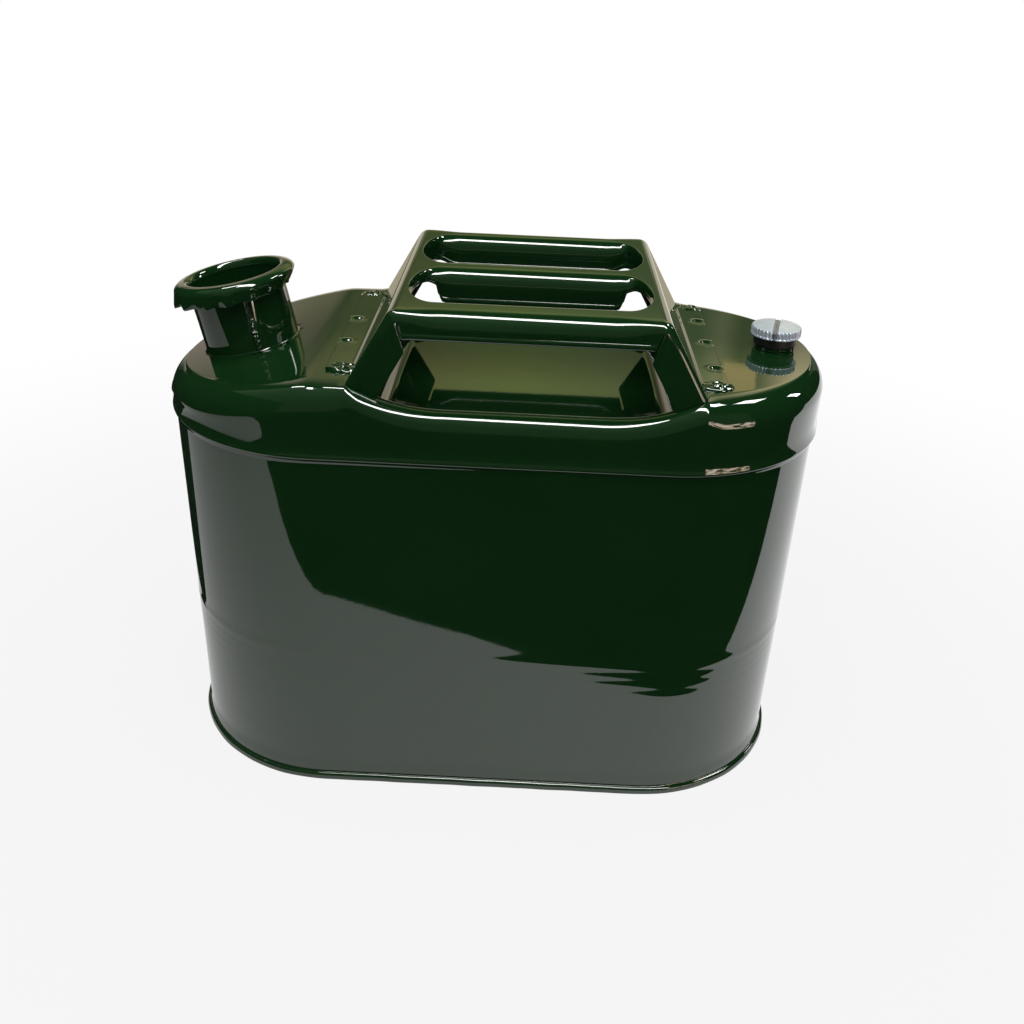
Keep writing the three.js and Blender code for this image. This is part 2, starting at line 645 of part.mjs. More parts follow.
function stopRing() {
  const outer = BORE_RADIUS + STOP_RING_WIDTH;
  const low = STOP_TOP - STOP_RING_HEIGHT;
  return turned([[BORE_RADIUS, low], [outer, low], [outer, STOP_TOP], [BORE_RADIUS, STOP_TOP]]);
}

// Finishes

const enamel = () => new THREE.MeshStandardMaterial({ color: 0x1b3a1f, roughness: 0.16, metalness: 0.1 });
const zinc = () => new THREE.MeshStandardMaterial({ color: 0xb9bfc4, roughness: 0.35, metalness: 1 });
const rubber = () => new THREE.MeshStandardMaterial({ color: 0x121212, roughness: 0.7, metalness: 0 });
const steel = () => new THREE.MeshStandardMaterial({ color: 0x7d8184, roughness: 0.45, metalness: 1 });

// Assembly

const can = new THREE.Group();
can.add(neckFrame, ventFrame);

function piece(name, geometry, material, parent = can) {
  const mesh = new THREE.Mesh(geometry, material);
  mesh.name = name;
  parent.add(mesh);
}

piece('body_wall', bodyWall(), enamel());
piece('body_seam_weld', bodySeam(), enamel());
piece('bottom_pan', bottomPan(), enamel());
piece('top_cover', topCover(), enamel());
piece('carry_handle', carryHandle(), enamel());
for (const [sideName, side] of [['left', -1], ['right', 1]]) {
  for (const [endName, end] of [['front', -1], ['rear', 1]]) {
    piece(`handle_weld_${endName}_${sideName}`, handleTack(side, end), enamel());
  }
}
piece('filler_neck', fillerNeck(), enamel(), neckFrame);
piece('neck_collar', neckCollar(), enamel(), neckFrame);
piece('neck_root_weld', filletRing(NECK_RADIUS, ROOT_WELD), enamel(), neckFrame);
piece('neck_seam_weld', neckSeam(), enamel(), neckFrame);
piece('vent_boss', ventBoss(), enamel(), ventFrame);
piece('vent_washer', ventWasher(), rubber(), ventFrame);
piece('vent_screw', ventScrew(), zinc(), ventFrame);
piece('vent_stop_ring', stopRing(), steel(), ventFrame);

export default can;
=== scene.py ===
# %% [markdown]
# # A ten-litre steel fuel can
#
# The can is a low oval tin of pressed and rolled sheet: a wall, a bottom with a rolled foot, a pressed
# top with a hand well, a slotted handle, a leaning filler neck and a vent screw. All of it but the vent
# is dipped in thick, glossy dark green enamel. The construction is finished before this lesson starts,
# so the first cell loads it as a fixed frame, and every later cell makes one piece to fit over it.

# %% Load the frame
import math

import bmesh
import bpy
import numpy as np
from mathutils import Matrix, Vector, noise


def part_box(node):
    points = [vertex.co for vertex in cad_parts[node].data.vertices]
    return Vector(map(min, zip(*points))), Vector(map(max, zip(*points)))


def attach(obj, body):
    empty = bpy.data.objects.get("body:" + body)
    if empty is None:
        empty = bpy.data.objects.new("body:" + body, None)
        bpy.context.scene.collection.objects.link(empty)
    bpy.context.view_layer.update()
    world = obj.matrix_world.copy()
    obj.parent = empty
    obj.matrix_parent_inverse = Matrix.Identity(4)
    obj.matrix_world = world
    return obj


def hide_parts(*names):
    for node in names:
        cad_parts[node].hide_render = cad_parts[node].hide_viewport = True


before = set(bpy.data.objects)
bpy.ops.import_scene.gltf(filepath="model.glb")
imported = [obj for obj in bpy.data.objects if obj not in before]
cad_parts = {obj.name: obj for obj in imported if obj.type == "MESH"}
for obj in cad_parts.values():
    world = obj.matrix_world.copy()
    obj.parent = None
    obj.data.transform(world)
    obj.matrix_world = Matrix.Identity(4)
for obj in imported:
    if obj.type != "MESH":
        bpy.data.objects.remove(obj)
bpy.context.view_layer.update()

# %% [markdown]
# ## Measuring the frame
#
# A can maker works in millimetres, and so do the cells below; a mesh is turned into metres when it is
# built. The large sizes are read off the frame's own boxes. What a box can't tell, such as the thickness
# of the sheet or the radius of a bend, is a named value next to the piece that needs it.

# %% Shared sizes in millimetres
MM = 0.001
SHEET = 1.2
GAP = 0.3


def box_mm(node):
    """Lowest and highest corner of a node of the frame, in millimetres."""
    low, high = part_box(node)
    return np.array(low) / MM, np.array(high) / MM


wall_low, wall_high = box_mm("body_wall")
cover_low, cover_high = box_mm("top_cover")
handle_low, handle_high = box_mm("carry_handle")
END_RADIUS = wall_high[1]
END_X = wall_high[0] - END_RADIUS
PLATEAU = cover_high[2]
LIP = cover_low[2]
HANDLE_TOP = handle_high[2]
HANDLE_X = (handle_low[0] + handle_high[0]) / 2
print(f"oval of {2 * wall_high[0]:.0f} x {2 * END_RADIUS:.0f} mm")
print(f"plateau at {PLATEAU:.0f} mm, handle at {HANDLE_TOP:.0f} mm")

# %% [markdown]
# ## Shader maths as plain expressions
#
# A finish is a small network of nodes. Writing `0.03 + clouds * 0.02` is easier to read than three calls
# that add and link nodes, so a socket is wrapped in a class whose operators add the Math nodes. Every
# other kind of node comes from one method, which takes its type, its settings and its inputs.


# %% Sockets and finishes
class Wire:
    """One output of a shader node. Arithmetic on wires adds Math nodes."""

    def __init__(self, finish, socket):
        self.finish = finish
        self.socket = socket

    def out(self, name):
        """Another output of the same node."""
        return Wire(self.finish, self.socket.node.outputs[name])

    def math(self, operation, first, second):
        return self.finish.node("Math", {"operation": operation}, {0: first, 1: second})

    def __add__(self, other):
        return self.math("ADD", self, other)

    def __radd__(self, other):
        return self.math("ADD", other, self)

    def __sub__(self, other):
        return self.math("SUBTRACT", self, other)

    def __mul__(self, other):
        return self.math("MULTIPLY", self, other)

    def __rmul__(self, other):
        return self.math("MULTIPLY", other, self)


class Finish:
    """The node tree of a material or a world."""

    def __init__(self, owner):
        self.owner = owner
        owner.use_nodes = True
        self.tree = owner.node_tree
        self.tree.nodes.clear()

    def node(self, kind, settings=None, inputs=None, output=0):
        """Adds a node, sets it up, fills or links its inputs and returns one output."""
        made = self.tree.nodes.new("ShaderNode" + kind)
        for name, value in (settings or {}).items():
            if name == "stops":
                self.stops(made.color_ramp, value)
            else:
                setattr(made, name, value)
        for key, value in (inputs or {}).items():
            if isinstance(value, Wire):
                self.tree.links.new(value.socket, made.inputs[key])
            else:
                made.inputs[key].default_value = value
        return Wire(self, made.outputs[output]) if len(made.outputs) else None

    @staticmethod
    def stops(ramp, stops):
        while len(ramp.elements) < len(stops):
            ramp.elements.new(1.0)
        for element, (position, colour) in zip(ramp.elements, stops):
            element.position = position
            element.color = colour


def new_finish(name):
    return Finish(bpy.data.materials.new(name))


# %% [markdown]
# ## The camera
#
# The view is from in front and well above, with the camera tipped a little to one side. Its place was
# solved from the outlines of the foot, the lip, the handle and the neck, so the same pose is written
# here as a point, three small turns and a focal length.

# %% Camera
CAMERA_PLACE = Vector((0.016776, -0.530943, 0.41835))
CAMERA_YAW = -0.010
CAMERA_PITCH = 0.499
CAMERA_ROLL = 0.043
CAMERA_LENS = 37.03


def aim(yaw, pitch, roll):
    """Rotation of a camera that looks along +Y, turned by yaw, tipped down by pitch, then rolled."""
    ahead = Vector((math.sin(yaw) * math.cos(pitch), math.cos(yaw) * math.cos(pitch), -math.sin(pitch)))
    level = Vector((math.cos(yaw), -math.sin(yaw), 0))
    upward = level.cross(ahead)
    right = math.cos(roll) * level + math.sin(roll) * upward
    top = math.cos(roll) * upward - math.sin(roll) * level
    return Matrix((right, top, -ahead)).transposed()


scene = bpy.context.scene
scene.view_settings.view_transform = "Standard"
camera_data = bpy.data.cameras.new("camera")
camera_data.lens = CAMERA_LENS
camera_data.sensor_width = 36
camera_data.clip_start = 0.01
camera = bpy.data.objects.new("camera", camera_data)
camera.matrix_world = Matrix.Translation(CAMERA_PLACE) @ aim(CAMERA_YAW, CAMERA_PITCH, CAMERA_ROLL).to_4x4()
scene.collection.objects.link(camera)
scene.camera = camera
print("camera at", [round(v, 3) for v in CAMERA_PLACE])

# %% [markdown]
# ## The studio
#
# Gloss is a picture of the room, so the room matters as much as the paint. The can stands on a white
# table whose edge runs slantwise in front of it: below the mirrored edge the wall shows the white table,
# above it the dark of the room. The floor comes first. It is plain white to the eye, and in a mirror it
# fades towards the left, as a table does that is lit from the right.

# %% World and floor
FILL = 0.2
FLOOR_HALF = 6.0
FLOOR_GREY = 0.5
NEAR_GLOW = 0.86
GLOW_RUN = (0.25, 0.8)
GLOSS_RUN = (-0.75, 0.32)
GLOSS_LEVEL = (0.33, 1.3)


def seen_rays(finish):
    """1 for rays from the camera, and for those that a mirror or a glass sends on."""
    rays = finish.node("LightPath", output="Is Camera Ray")
    return rays + rays.out("Is Glossy Ray") + rays.out("Is Transmission Ray")


def flat_mesh(name, corners, finish):
    """One face through the given corners in metres."""
    mesh = bpy.data.meshes.new(name)
    mesh.from_pydata(corners, [], [tuple(range(len(corners)))])
    mesh.materials.append(finish.owner)
    face = bpy.data.objects.new(name, mesh)
    scene.collection.objects.link(face)
    return face


world = bpy.data.worlds.new("studio")
scene.world = world
studio = Finish(world)
level = FILL + (1 - FILL) * seen_rays(studio)
sky = studio.node("Background", {}, {"Color": level, "Strength": 1.0})
studio.node("OutputWorld", {}, {"Surface": sky})

white_table = new_finish("white_table")
place = white_table.node("TexCoord", output="Object")
distance = white_table.node("VectorMath", {"operation": "LENGTH"}, {0: place}, "Value")
share = white_table.node("MapRange", {"interpolation_type": "SMOOTHSTEP"}, {
    0: distance, 1: GLOW_RUN[0], 2: GLOW_RUN[1], 3: NEAR_GLOW, 4: 1.0,
})
across = white_table.node("SeparateXYZ", {}, {0: place}, "X")
lit = white_table.node("MapRange", {}, {
    0: across, 1: GLOSS_RUN[0], 2: GLOSS_RUN[1], 3: GLOSS_LEVEL[0], 4: GLOSS_LEVEL[1],
})
mirrored = white_table.node("LightPath", output="Is Glossy Ray")
matt = white_table.node("BsdfDiffuse", {}, {"Color": (FLOOR_GREY, FLOOR_GREY, FLOOR_GREY, 1)})
glow = white_table.node("Emission", {}, {"Color": 1 + mirrored * (lit - 1), "Strength": 1.0})
mixed = white_table.node("MixShader", {}, {0: share * seen_rays(white_table), 1: matt, 2: glow})
white_table.node("OutputMaterial", {}, {"Surface": mixed})
floor_corners = [(x * FLOOR_HALF, y * FLOOR_HALF, 0) for x, y in ((-1, -1), (1, -1), (1, 1), (-1, 1))]
flat_mesh("floor", floor_corners, white_table)
print("floor of", 2 * FLOOR_HALF, "m")

# %% [markdown]
# ### Cards for the dark of the room
#
# A studio hangs up cards so that polished things have something to mirror. A flat glowing face does the
# same here. It is seen by mirror rays alone, so the floor stays white and keeps its shadow. The first
# cards are the dark ground past the table's edge, the dim front of the room and its dark ceiling.

# %% Cards that only the gloss sees
TABLE_EDGE = Vector((0, -0.217, 0))
TABLE_TURN = math.radians(23)
ROOM_REACH = 2.4
ROOM_HALF = 4.5
ROOM_TOP = 2.6
CARD_LIFT = 0.0005
CEILING = ((-4, -4), (4, -4), (4, 3), (-4, 3))
DARK_LEVEL = 0.012
DIM_LEVEL = 0.085


def plain_card(name, strength, tint=(1, 1, 1, 1)):
    """A finish of one even glow."""
    finish = new_finish(name)
    light = finish.node("Emission", {}, {"Color": tint, "Strength": strength})
    finish.node("OutputMaterial", {}, {"Surface": light})
    return finish


def card(name, corners, finish):
    """A flat face that shows in mirrors and nowhere else."""
    made = flat_mesh(name, corners, finish)
    made.visible_camera = False
    made.visible_diffuse = False
    made.visible_shadow = False
    made.visible_transmission = False


along = Vector((math.cos(TABLE_TURN), math.sin(TABLE_TURN), 0))
away = Vector((math.sin(TABLE_TURN), -math.cos(TABLE_TURN), 0))
lift = Vector((0, 0, CARD_LIFT))
tall = Vector((0, 0, ROOM_TOP))
near_left, near_right = (TABLE_EDGE + side * ROOM_HALF * along + lift for side in (-1, 1))
far_left, far_right = near_left + ROOM_REACH * away, near_right + ROOM_REACH * away
dark = plain_card("dark_room", DARK_LEVEL, (0.9, 1.0, 0.85, 1))
dim = plain_card("dim_front", DIM_LEVEL, (0.92, 1.0, 0.80, 1))
card("dark_ground", [near_left, far_left, far_right, near_right], dark)
card("dim_front", [far_left, far_left + tall, far_right + tall, far_right], dim)
card("dark_ceiling", [(x, y, ROOM_TOP) for x, y in CEILING], dark)

# %% [markdown]
# ### The warm wall behind the can
#
# The level parts of the cover and the tops of the bars mirror the wall behind the can. Its tone changes
# along the wall and with height, so two colour ramps are multiplied; a third takes over near the floor.

# %% Warm cards behind the can
BACK_Y = 1.6
SIDE_X = 3.0
WARM_HALF = 1.3
BACK_SPAN = 3.2
BACK_STRENGTH = 2.0
LOW_TAN = (0.42, 0.38, 0.30, 1)
LOW_RUN = (0.40, 0.50)
side_tones = [
    (0.08, (0.030, 0.045, 0.030, 1)),
    (0.16, (0.48, 0.39, 0.32, 1)),
    (0.25, (0.48, 0.40, 0.32, 1)),
    (0.31, (0.26, 0.22, 0.15, 1)),
    (0.36, (0.17, 0.16, 0.09, 1)),
    (0.39, (0.21, 0.20, 0.10, 1)),
    (0.50, (0.25, 0.29, 0.11, 1)),
    (0.616, (0.19, 0.22, 0.12, 1)),
    (0.631, (0.40, 0.40, 0.23, 1)),
    (0.643, (0.17, 0.18, 0.095, 1)),
    (0.661, (0.21, 0.21, 0.12, 1)),
    (0.684, (0.80, 0.70, 0.46, 1)),
    (0.74, (0.80, 0.70, 0.42, 1)),
    (0.79, (0.14, 0.17, 0.09, 1)),
]
height_tones = [
    (0.212, (0.70, 0.70, 0.70, 1)),
    (0.235, (0.44, 0.44, 0.44, 1)),
    (0.25, (0.31, 0.31, 0.31, 1)),
    (0.281, (0.40, 0.40, 0.40, 1)),
    (0.299, (0.42, 0.42, 0.42, 1)),
    (0.331, (1.00, 0.97, 0.85, 1)),
    (0.45, (1.00, 1.00, 0.90, 1)),
    (0.60, (0.70, 0.75, 0.70, 1)),
    (0.80, (0.12, 0.12, 0.12, 1)),
]
low_tones = [
    (0.12, (0.03, 0.04, 0.03, 1)),
    (0.22, LOW_TAN),
    (0.72, LOW_TAN),
    (0.80, (0.06, 0.07, 0.05, 1)),
]
warm = new_finish("warm_back")
across = warm.node("SeparateXYZ", {}, {0: warm.node("TexCoord", output="Object")}, "X")
sideways = across * (1 / BACK_SPAN) + 0.5
by_side = warm.node("ValToRGB", {"stops": side_tones}, {0: sideways})
lower = warm.node("ValToRGB", {"stops": low_tones}, {0: sideways})
by_height = warm.node("ValToRGB", {"stops": height_tones}, {0: across.out("Z") * (1 / ROOM_TOP)})
product = {"data_type": "RGBA", "blend_type": "MULTIPLY"}
upper = warm.node("Mix", product, {0: 1.0, 6: by_side, 7: by_height}, 2)
risen = warm.node("MapRange", {}, {0: across.out("Z"), 1: LOW_RUN[0], 2: LOW_RUN[1], 3: 0.0, 4: 1.0})
tone = warm.node("Mix", {"data_type": "RGBA"}, {0: risen, 6: lower, 7: upper}, 2)
light = warm.node("Emission", {}, {"Color": tone, "Strength": BACK_STRENGTH})
warm.node("OutputMaterial", {}, {"Surface": light})


def wall_card(name, start, end, finish):
    """An upright card from the floor to the ceiling between two places of the plan."""
    low, high = 2 * CARD_LIFT, ROOM_TOP
    card(name, [(*start, low), (*start, high), (*end, high), (*end, low)], finish)


wall_card("warm_back", (-WARM_HALF, BACK_Y), (WARM_HALF, BACK_Y), warm)
for name, side in (("left", -1), ("right", 1)):
    wall_card("dark_" + name, (side * SIDE_X, -ROOM_HALF), (side * SIDE_X, BACK_Y), dark)
    wall_card("dark_back_" + name, (side * SIDE_X, BACK_Y), (side * WARM_HALF, BACK_Y), dark)

# %% [markdown]
# ### Small cards
#
# A tan patch and two dark ones lie on the floor beside the can, a peach shelf stands at the front right,
# and a brown box hangs on the wall. Each makes one patch of colour in the enamel.

# %% Small cards on the floor
TAN_GROUND = ((-0.30, 0.45), (0.35, 0.45), (0.35, BACK_Y), (-0.30, BACK_Y))
SHADE_GROUND = ((-0.25, 0.03), (-0.68, 0.315), (-0.68, BACK_Y), (-0.25, BACK_Y))
LEFT_GROUND = ((-0.68, -1.2), (-SIDE_X, -1.2), (-SIDE_X, BACK_Y), (-0.68, BACK_Y))
SHELF = ((0.44, -0.64), (0.72, -0.38))
SHELF_HEIGHTS = (0.09, 0.30)
BROWN_BOX = ((0.425, 0.815), (0.498, 0.824), (0.503, 0.900), (0.440, 0.905))
SHELF_STRENGTH = 6.5
BOX_STRENGTH = 1.1
BOX_GAP = 0.02
tan = plain_card("tan_ground", 1.0, (0.42, 0.38, 0.27, 1))
floor_cards = (("tan", TAN_GROUND, tan), ("shade", SHADE_GROUND, dark), ("left", LEFT_GROUND, dark))
for name, corners, finish in floor_cards:
    card(name + "_card", [(x, y, 2 * CARD_LIFT) for x, y in corners], finish)

shelf = new_finish("peach_shelf")
place = shelf.node("TexCoord", output="Object")
goods = shelf.node("TexNoise", {}, {"Vector": place, "Scale": 17.0, "Detail": 2.0}, "Fac")
shelf_tones = [(0.38, (0.02, 0.02, 0.015, 1)), (0.54, (0.75, 0.55, 0.40, 1)), (0.68, (1.0, 0.93, 0.85, 1))]
tone = shelf.node("ValToRGB", {"stops": shelf_tones}, {0: goods})
light = shelf.node("Emission", {}, {"Color": tone, "Strength": SHELF_STRENGTH})
shelf.node("OutputMaterial", {}, {"Surface": light})
shelf_corners = [(*SHELF[i], SHELF_HEIGHTS[k]) for i, k in ((0, 0), (1, 0), (1, 1), (0, 1))]
card("shelf_card", shelf_corners, shelf)
brown = plain_card("brown_box", BOX_STRENGTH, (1.0, 0.79, 0.34, 1))
card("box_card", [(x, BACK_Y - BOX_GAP, z) for x, z in BROWN_BOX], brown)

# %% [markdown]
# ### Lamps
#
# Two soft lamps light the can, and no mirror shows them. The white lines on its edges come from bright
# cards instead, three tubes under the ceiling and a window, because each can be placed for its line.

# %% Lamps
TUBE_STRENGTH = 20.0
TUBE_Z = 2.2
GLOSS_TUBES = {
    "near": ((-0.56, -0.09), (1.30, -1.58), (1.30, -1.10), (-0.56, 0.39)),
    "far": ((-1.20, 0.62), (-0.64, 0.46), (-0.64, 0.66), (-1.20, 0.85)),
    "side": ((1.15, 0.35), (1.65, 0.35), (1.65, 1.00), (1.15, 1.00)),
}
OVERHEAD_WATTS = 30
FRONT_WATTS = 8
WINDOW_GAP = 0.05
WINDOW = ((1.0, 1.3), (1.3, 1.3), (1.35, 2.1), (1.05, 2.1))


def area_lamp(name, place, target, size, watts):
    """A rectangular lamp that points at a target and does not show in mirrors."""
    data = bpy.data.lights.new(name, "AREA")
    data.shape = "RECTANGLE"
    data.size, data.size_y = size
    data.energy = watts
    lamp = bpy.data.objects.new(name, data)
    lamp.location = place
    lamp.rotation_euler = (Vector(target) - Vector(place)).to_track_quat("-Z", "Y").to_euler()
    lamp.visible_camera = False
    lamp.visible_glossy = False
    scene.collection.objects.link(lamp)


area_lamp("overhead", (0.0, -0.3, 2.3), (0, 0, 0), (1.8, 1.8), OVERHEAD_WATTS)
area_lamp("front", (0.0, -1.1, 1.85), (0, 0, 0.2), (2.6, 0.3), FRONT_WATTS)
tube_light = plain_card("tube_light", TUBE_STRENGTH, (1.0, 0.99, 0.96, 1))
for name, corners in GLOSS_TUBES.items():
    card("tube_" + name, [(x, y, TUBE_Z) for x, y in corners], tube_light)
card("window_card", [(SIDE_X - WINDOW_GAP, y, z) for y, z in WINDOW], tube_light)

# %% [markdown]
# ### The glow of the ceiling
#
# A tube lamp also lights the ceiling beside it. The bars and the shoulder mirror that glow below their
# white lines: brightest next to the tube and fading towards the front of the room.

# %% Ceiling glow
GLOW_SLOPE = 0.8
GLOW_SHIFT = 0.30
GLOW_FADE = 3.0
GLOW_Z = ROOM_TOP - 0.02
glow_tones = [
    (0.0, (0.08, 0.09, 0.07, 1)),
    (0.55, (0.13, 0.18, 0.13, 1)),
    (1.0, (0.22, 0.29, 0.22, 1)),
]
ceiling = new_finish("ceiling_glow")
spot = ceiling.node("SeparateXYZ", {}, {0: ceiling.node("TexCoord", output="Object")}, "X")
nearness = (spot * GLOW_SLOPE + spot.out("Y") + GLOW_SHIFT) * (1 / GLOW_FADE) + 1
tone = ceiling.node("ValToRGB", {"stops": glow_tones}, {0: nearness})
light = ceiling.node("Emission", {}, {"Color": tone, "Strength": 1.0})
ceiling.node("OutputMaterial", {}, {"Surface": light})
tube_line = [(x, -GLOW_SHIFT - GLOW_SLOPE * x, GLOW_Z) for x in (-SIDE_X, SIDE_X)]
near_line = [(x, CEILING[0][1], GLOW_Z) for x in (SIDE_X, -SIDE_X)]
card("ceiling_card", tube_line + near_line, ceiling)
print("glow fades over", GLOW_FADE, "m")

# %% [markdown]
# ## The green enamel
#
# Stoved enamel is a dark pigment under a deep gloss. The pigment varies a little in depth, and the
# surface is never quite flat: it has a fine orange-peel texture and slow runs, which fray the edges of
# the reflections. Those two waves go into a Bump node; the gloss itself is the shader's own Fresnel.

# %% Enamel
DEEP_GREEN = (0.0042, 0.0270, 0.0060, 1)
LEAF_GREEN = (0.0075, 0.0400, 0.0098, 1)
ENAMEL_IOR = 1.7


def enamel(name, roughness, peel_height, lump_scale):
    """Thick green enamel: cloudy pigment, a little dust in the gloss and orange peel."""
    finish = new_finish(name)
    place = finish.node("TexCoord", output="Object")
    clouds = finish.node("TexNoise", {}, {"Vector": place, "Scale": 14.0, "Detail": 4.0}, "Fac")
    dust = finish.node("TexNoise", {}, {"Vector": place, "Scale": 900.0, "Detail": 1.0}, "Fac")
    peel = finish.node("TexNoise", {}, {"Vector": place, "Scale": lump_scale, "Detail": 2.0}, "Fac")
    runs = finish.node("TexNoise", {}, {"Vector": place, "Scale": 70.0, "Detail": 1.0}, "Fac")
    colour = finish.node("Mix", {"data_type": "RGBA"}, {0: clouds, 6: DEEP_GREEN, 7: LEAF_GREEN}, 2)
    gloss = roughness + dust * 0.015 + clouds * 0.02
    bump = finish.node("Bump", {}, {"Strength": 1.0, "Distance": peel_height, "Height": peel + runs * 2.0})
    shader = finish.node("BsdfPrincipled", {}, {
        "Base Color": colour, "Roughness": gloss, "IOR": ENAMEL_IOR, "Normal": bump,
    })
    finish.node("OutputMaterial", {}, {"Surface": shader})
    return finish.owner


green_enamel = enamel("green_enamel", 0.02, 5e-6, 420.0)
painted_weld = enamel("painted_weld", 0.06, 1.6e-4, 620.0)
print("enamels:", green_enamel.name, painted_weld.name)

# %% [markdown]
# ## Rubber, zinc and steel
#
# The washer is moulded rubber, dull and a little dusty. The screw is turned, knurled and zinc plated:
# its top keeps the rings that the lathe left, so the roughness and the bump follow the distance from
# the screw's own axis. A band along the drive slot is painted a darker grey, as painted shade in the
# slot. The stop ring inside the can is the same steel without plating.


# %% Rubber and metals
DRIVE_SLOT_TURN = math.radians(75)
# Painted shade in the drive slot: the edges of the darkened band, the share of the metal's own colour kept
# inside it, and its darker grey.
SLOT_SHADE_EDGE = (0.0011, 0.0015)
SLOT_UNSHADED_SHARE = 0.3
SLOT_SHADE_GREY = (0.05, 0.053, 0.06, 1)
SLOT_SIDEWAYS = (-math.sin(DRIVE_SLOT_TURN), math.cos(DRIVE_SLOT_TURN), 0)


def rubber(name):
    finish = new_finish(name)
    place = finish.node("TexCoord", output="Object")
    grain = finish.node("TexNoise", {}, {"Vector": place, "Scale": 1500.0, "Detail": 3.0}, "Fac")
    bloom = finish.node("TexNoise", {}, {"Vector": place, "Scale": 160.0, "Detail": 3.0}, "Fac")
    colour = finish.node("Mix", {"data_type": "RGBA"}, {
        0: bloom, 6: (0.004, 0.004, 0.004, 1), 7: (0.016, 0.016, 0.016, 1),
    }, 2)
    bump = finish.node("Bump", {}, {"Strength": 0.5, "Distance": 4e-5, "Height": grain})
    shader = finish.node("BsdfPrincipled", {}, {
        "Base Color": colour, "Roughness": 0.42 + bloom * 0.25, "Normal": bump,
    })
    finish.node("OutputMaterial", {}, {"Surface": shader})
    return finish.owner


def turned_metal(name, axis_place, bright, dull, roughness, metallic):
    """Turned metal: rings about an upright axis through a place in metres, and a band of painted shade, a
    darker grey, along the drive slot.
    """
    finish = new_finish(name)
    place = finish.node("TexCoord", output="Object")
    centred = finish.node("VectorMath", {"operation": "SUBTRACT"}, {0: place, 1: axis_place})
    level = finish.node("VectorMath", {"operation": "MULTIPLY"}, {0: centred, 1: (1, 1, 0.15)})
    radius = finish.node("VectorMath", {"operation": "LENGTH"}, {0: level}, "Value")
    ring_place = finish.node("CombineXYZ", {}, {0: radius, 1: 0.0, 2: 0.0})
    rings = finish.node("TexNoise", {}, {"Vector": ring_place, "Scale": 2600.0, "Detail": 2.0}, "Fac")
    clouds = finish.node("TexNoise", {}, {"Vector": place, "Scale": 260.0, "Detail": 4.0}, "Fac")
    # Painted shade: points near the drive slot's line get a darker grey base colour, which stands in for
    # the shade inside the slot.
    sideways = {0: centred, 1: SLOT_SIDEWAYS}
    across = finish.node("VectorMath", {"operation": "DOT_PRODUCT"}, sideways, "Value")
    aside = finish.node("Math", {"operation": "ABSOLUTE"}, {0: across})
    unshaded = finish.node("MapRange", {}, {
        0: aside, 1: SLOT_SHADE_EDGE[0], 2: SLOT_SHADE_EDGE[1], 3: SLOT_UNSHADED_SHARE, 4: 1.0,
    })
    colour = finish.node("Mix", {"data_type": "RGBA"}, {0: clouds * unshaded, 6: dull, 7: bright}, 2)
    shaded = finish.node("Mix", {"data_type": "RGBA"}, {0: unshaded, 6: SLOT_SHADE_GREY, 7: colour}, 2)
    bump = finish.node("Bump", {}, {"Strength": 0.5, "Distance": 2e-5, "Height": rings + clouds * 0.5})
    shader = finish.node("BsdfPrincipled", {}, {
        "Base Color": shaded, "Metallic": metallic, "Roughness": roughness + clouds * 0.16, "Normal": bump,
    })
    finish.node("OutputMaterial", {}, {"Surface": shader})
    return finish.owner


washer_low, washer_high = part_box("vent_washer")
VENT = (washer_low + washer_high) / 2
VENT.z = PLATEAU * MM
black_rubber = rubber("black_rubber")
zinc_plate = turned_metal("zinc_plate", VENT, (0.70, 0.78, 0.90, 1), (0.54, 0.60, 0.70, 1), 0.28, 0.4)
plain_steel = turned_metal("plain_steel", VENT, (0.46, 0.47, 0.48, 1), (0.30, 0.31, 0.32, 1), 0.34, 1.0)
print("vent axis at", [round(v, 4) for v in VENT])

# %% [markdown]
# ## Building meshes from grids
#
# Sheet metal is easiest to describe as rows of points: a ring round the can, a section through a bend.
# The class below collects such grids, joins the points that fall together, gives the sheet its thickness
# if it has none yet, rounds its cut edges with a small bevel and marks the edges that stay sharp.


# %% Sheets
JOIN = 0.004
SHARP_EDGE = math.radians(42)
BEVEL_ANGLE = 55


def smooth(x, low, high):
    """0 below low, 1 above high and a smooth step between them."""
    t = np.clip((np.asarray(x, float) - low) / (high - low), 0, 1)
    return t * t * (3 - 2 * t)


class Sheet:
    """Points in millimetres, joined by faces, that become one piece."""

    def __init__(self):
        self.points = []
        self.faces = []

    def grid(self, rows, wrap=False):
        """Joins rows of points; with wrap, the end of each row to its start too."""
        rows = np.asarray(rows, float)
        start = len(self.points)
        height, width = rows.shape[:2]
        self.points.extend(rows.reshape(-1, 3).tolist())
        for k in range(height - 1):
            for i in range(width if wrap else width - 1):
                a = start + k * width + i
                b = start + k * width + (i + 1) % width
                self.faces.append((a, b, b + width, a + width))

    def cap(self, ring):
        """One flat face round a ring of points."""
        start = len(self.points)
        self.points.extend(np.asarray(ring, float).tolist())
        self.faces.append(tuple(range(start, len(self.points))))

    def mesh(self, name, closed):
        """A mesh in metres, with equal points joined; a closed one has its faces turned outward."""
        made = bpy.data.meshes.new(name)
        made.from_pydata((np.array(self.points) * MM).tolist(), [], self.faces)
        work = bmesh.new()
        work.from_mesh(made)
        bmesh.ops.remove_doubles(work, verts=work.verts, dist=JOIN * MM)
        bmesh.ops.dissolve_degenerate(work, edges=work.edges, dist=JOIN * MM / 10)
        if closed:
            bmesh.ops.recalc_face_normals(work, faces=work.faces)
        work.to_mesh(made)
        work.free()
        return made


def settle(piece):
    """Applies a piece's modifiers, shades it smooth and marks its sharp edges."""
    ready = piece.evaluated_get(bpy.context.evaluated_depsgraph_get())
    final = bpy.data.meshes.new_from_object(ready)
    piece.modifiers.clear()
    piece.data = final
    final.polygons.foreach_set("use_smooth", [True] * len(final.polygons))
    final.set_sharp_from_angle(angle=SHARP_EDGE)


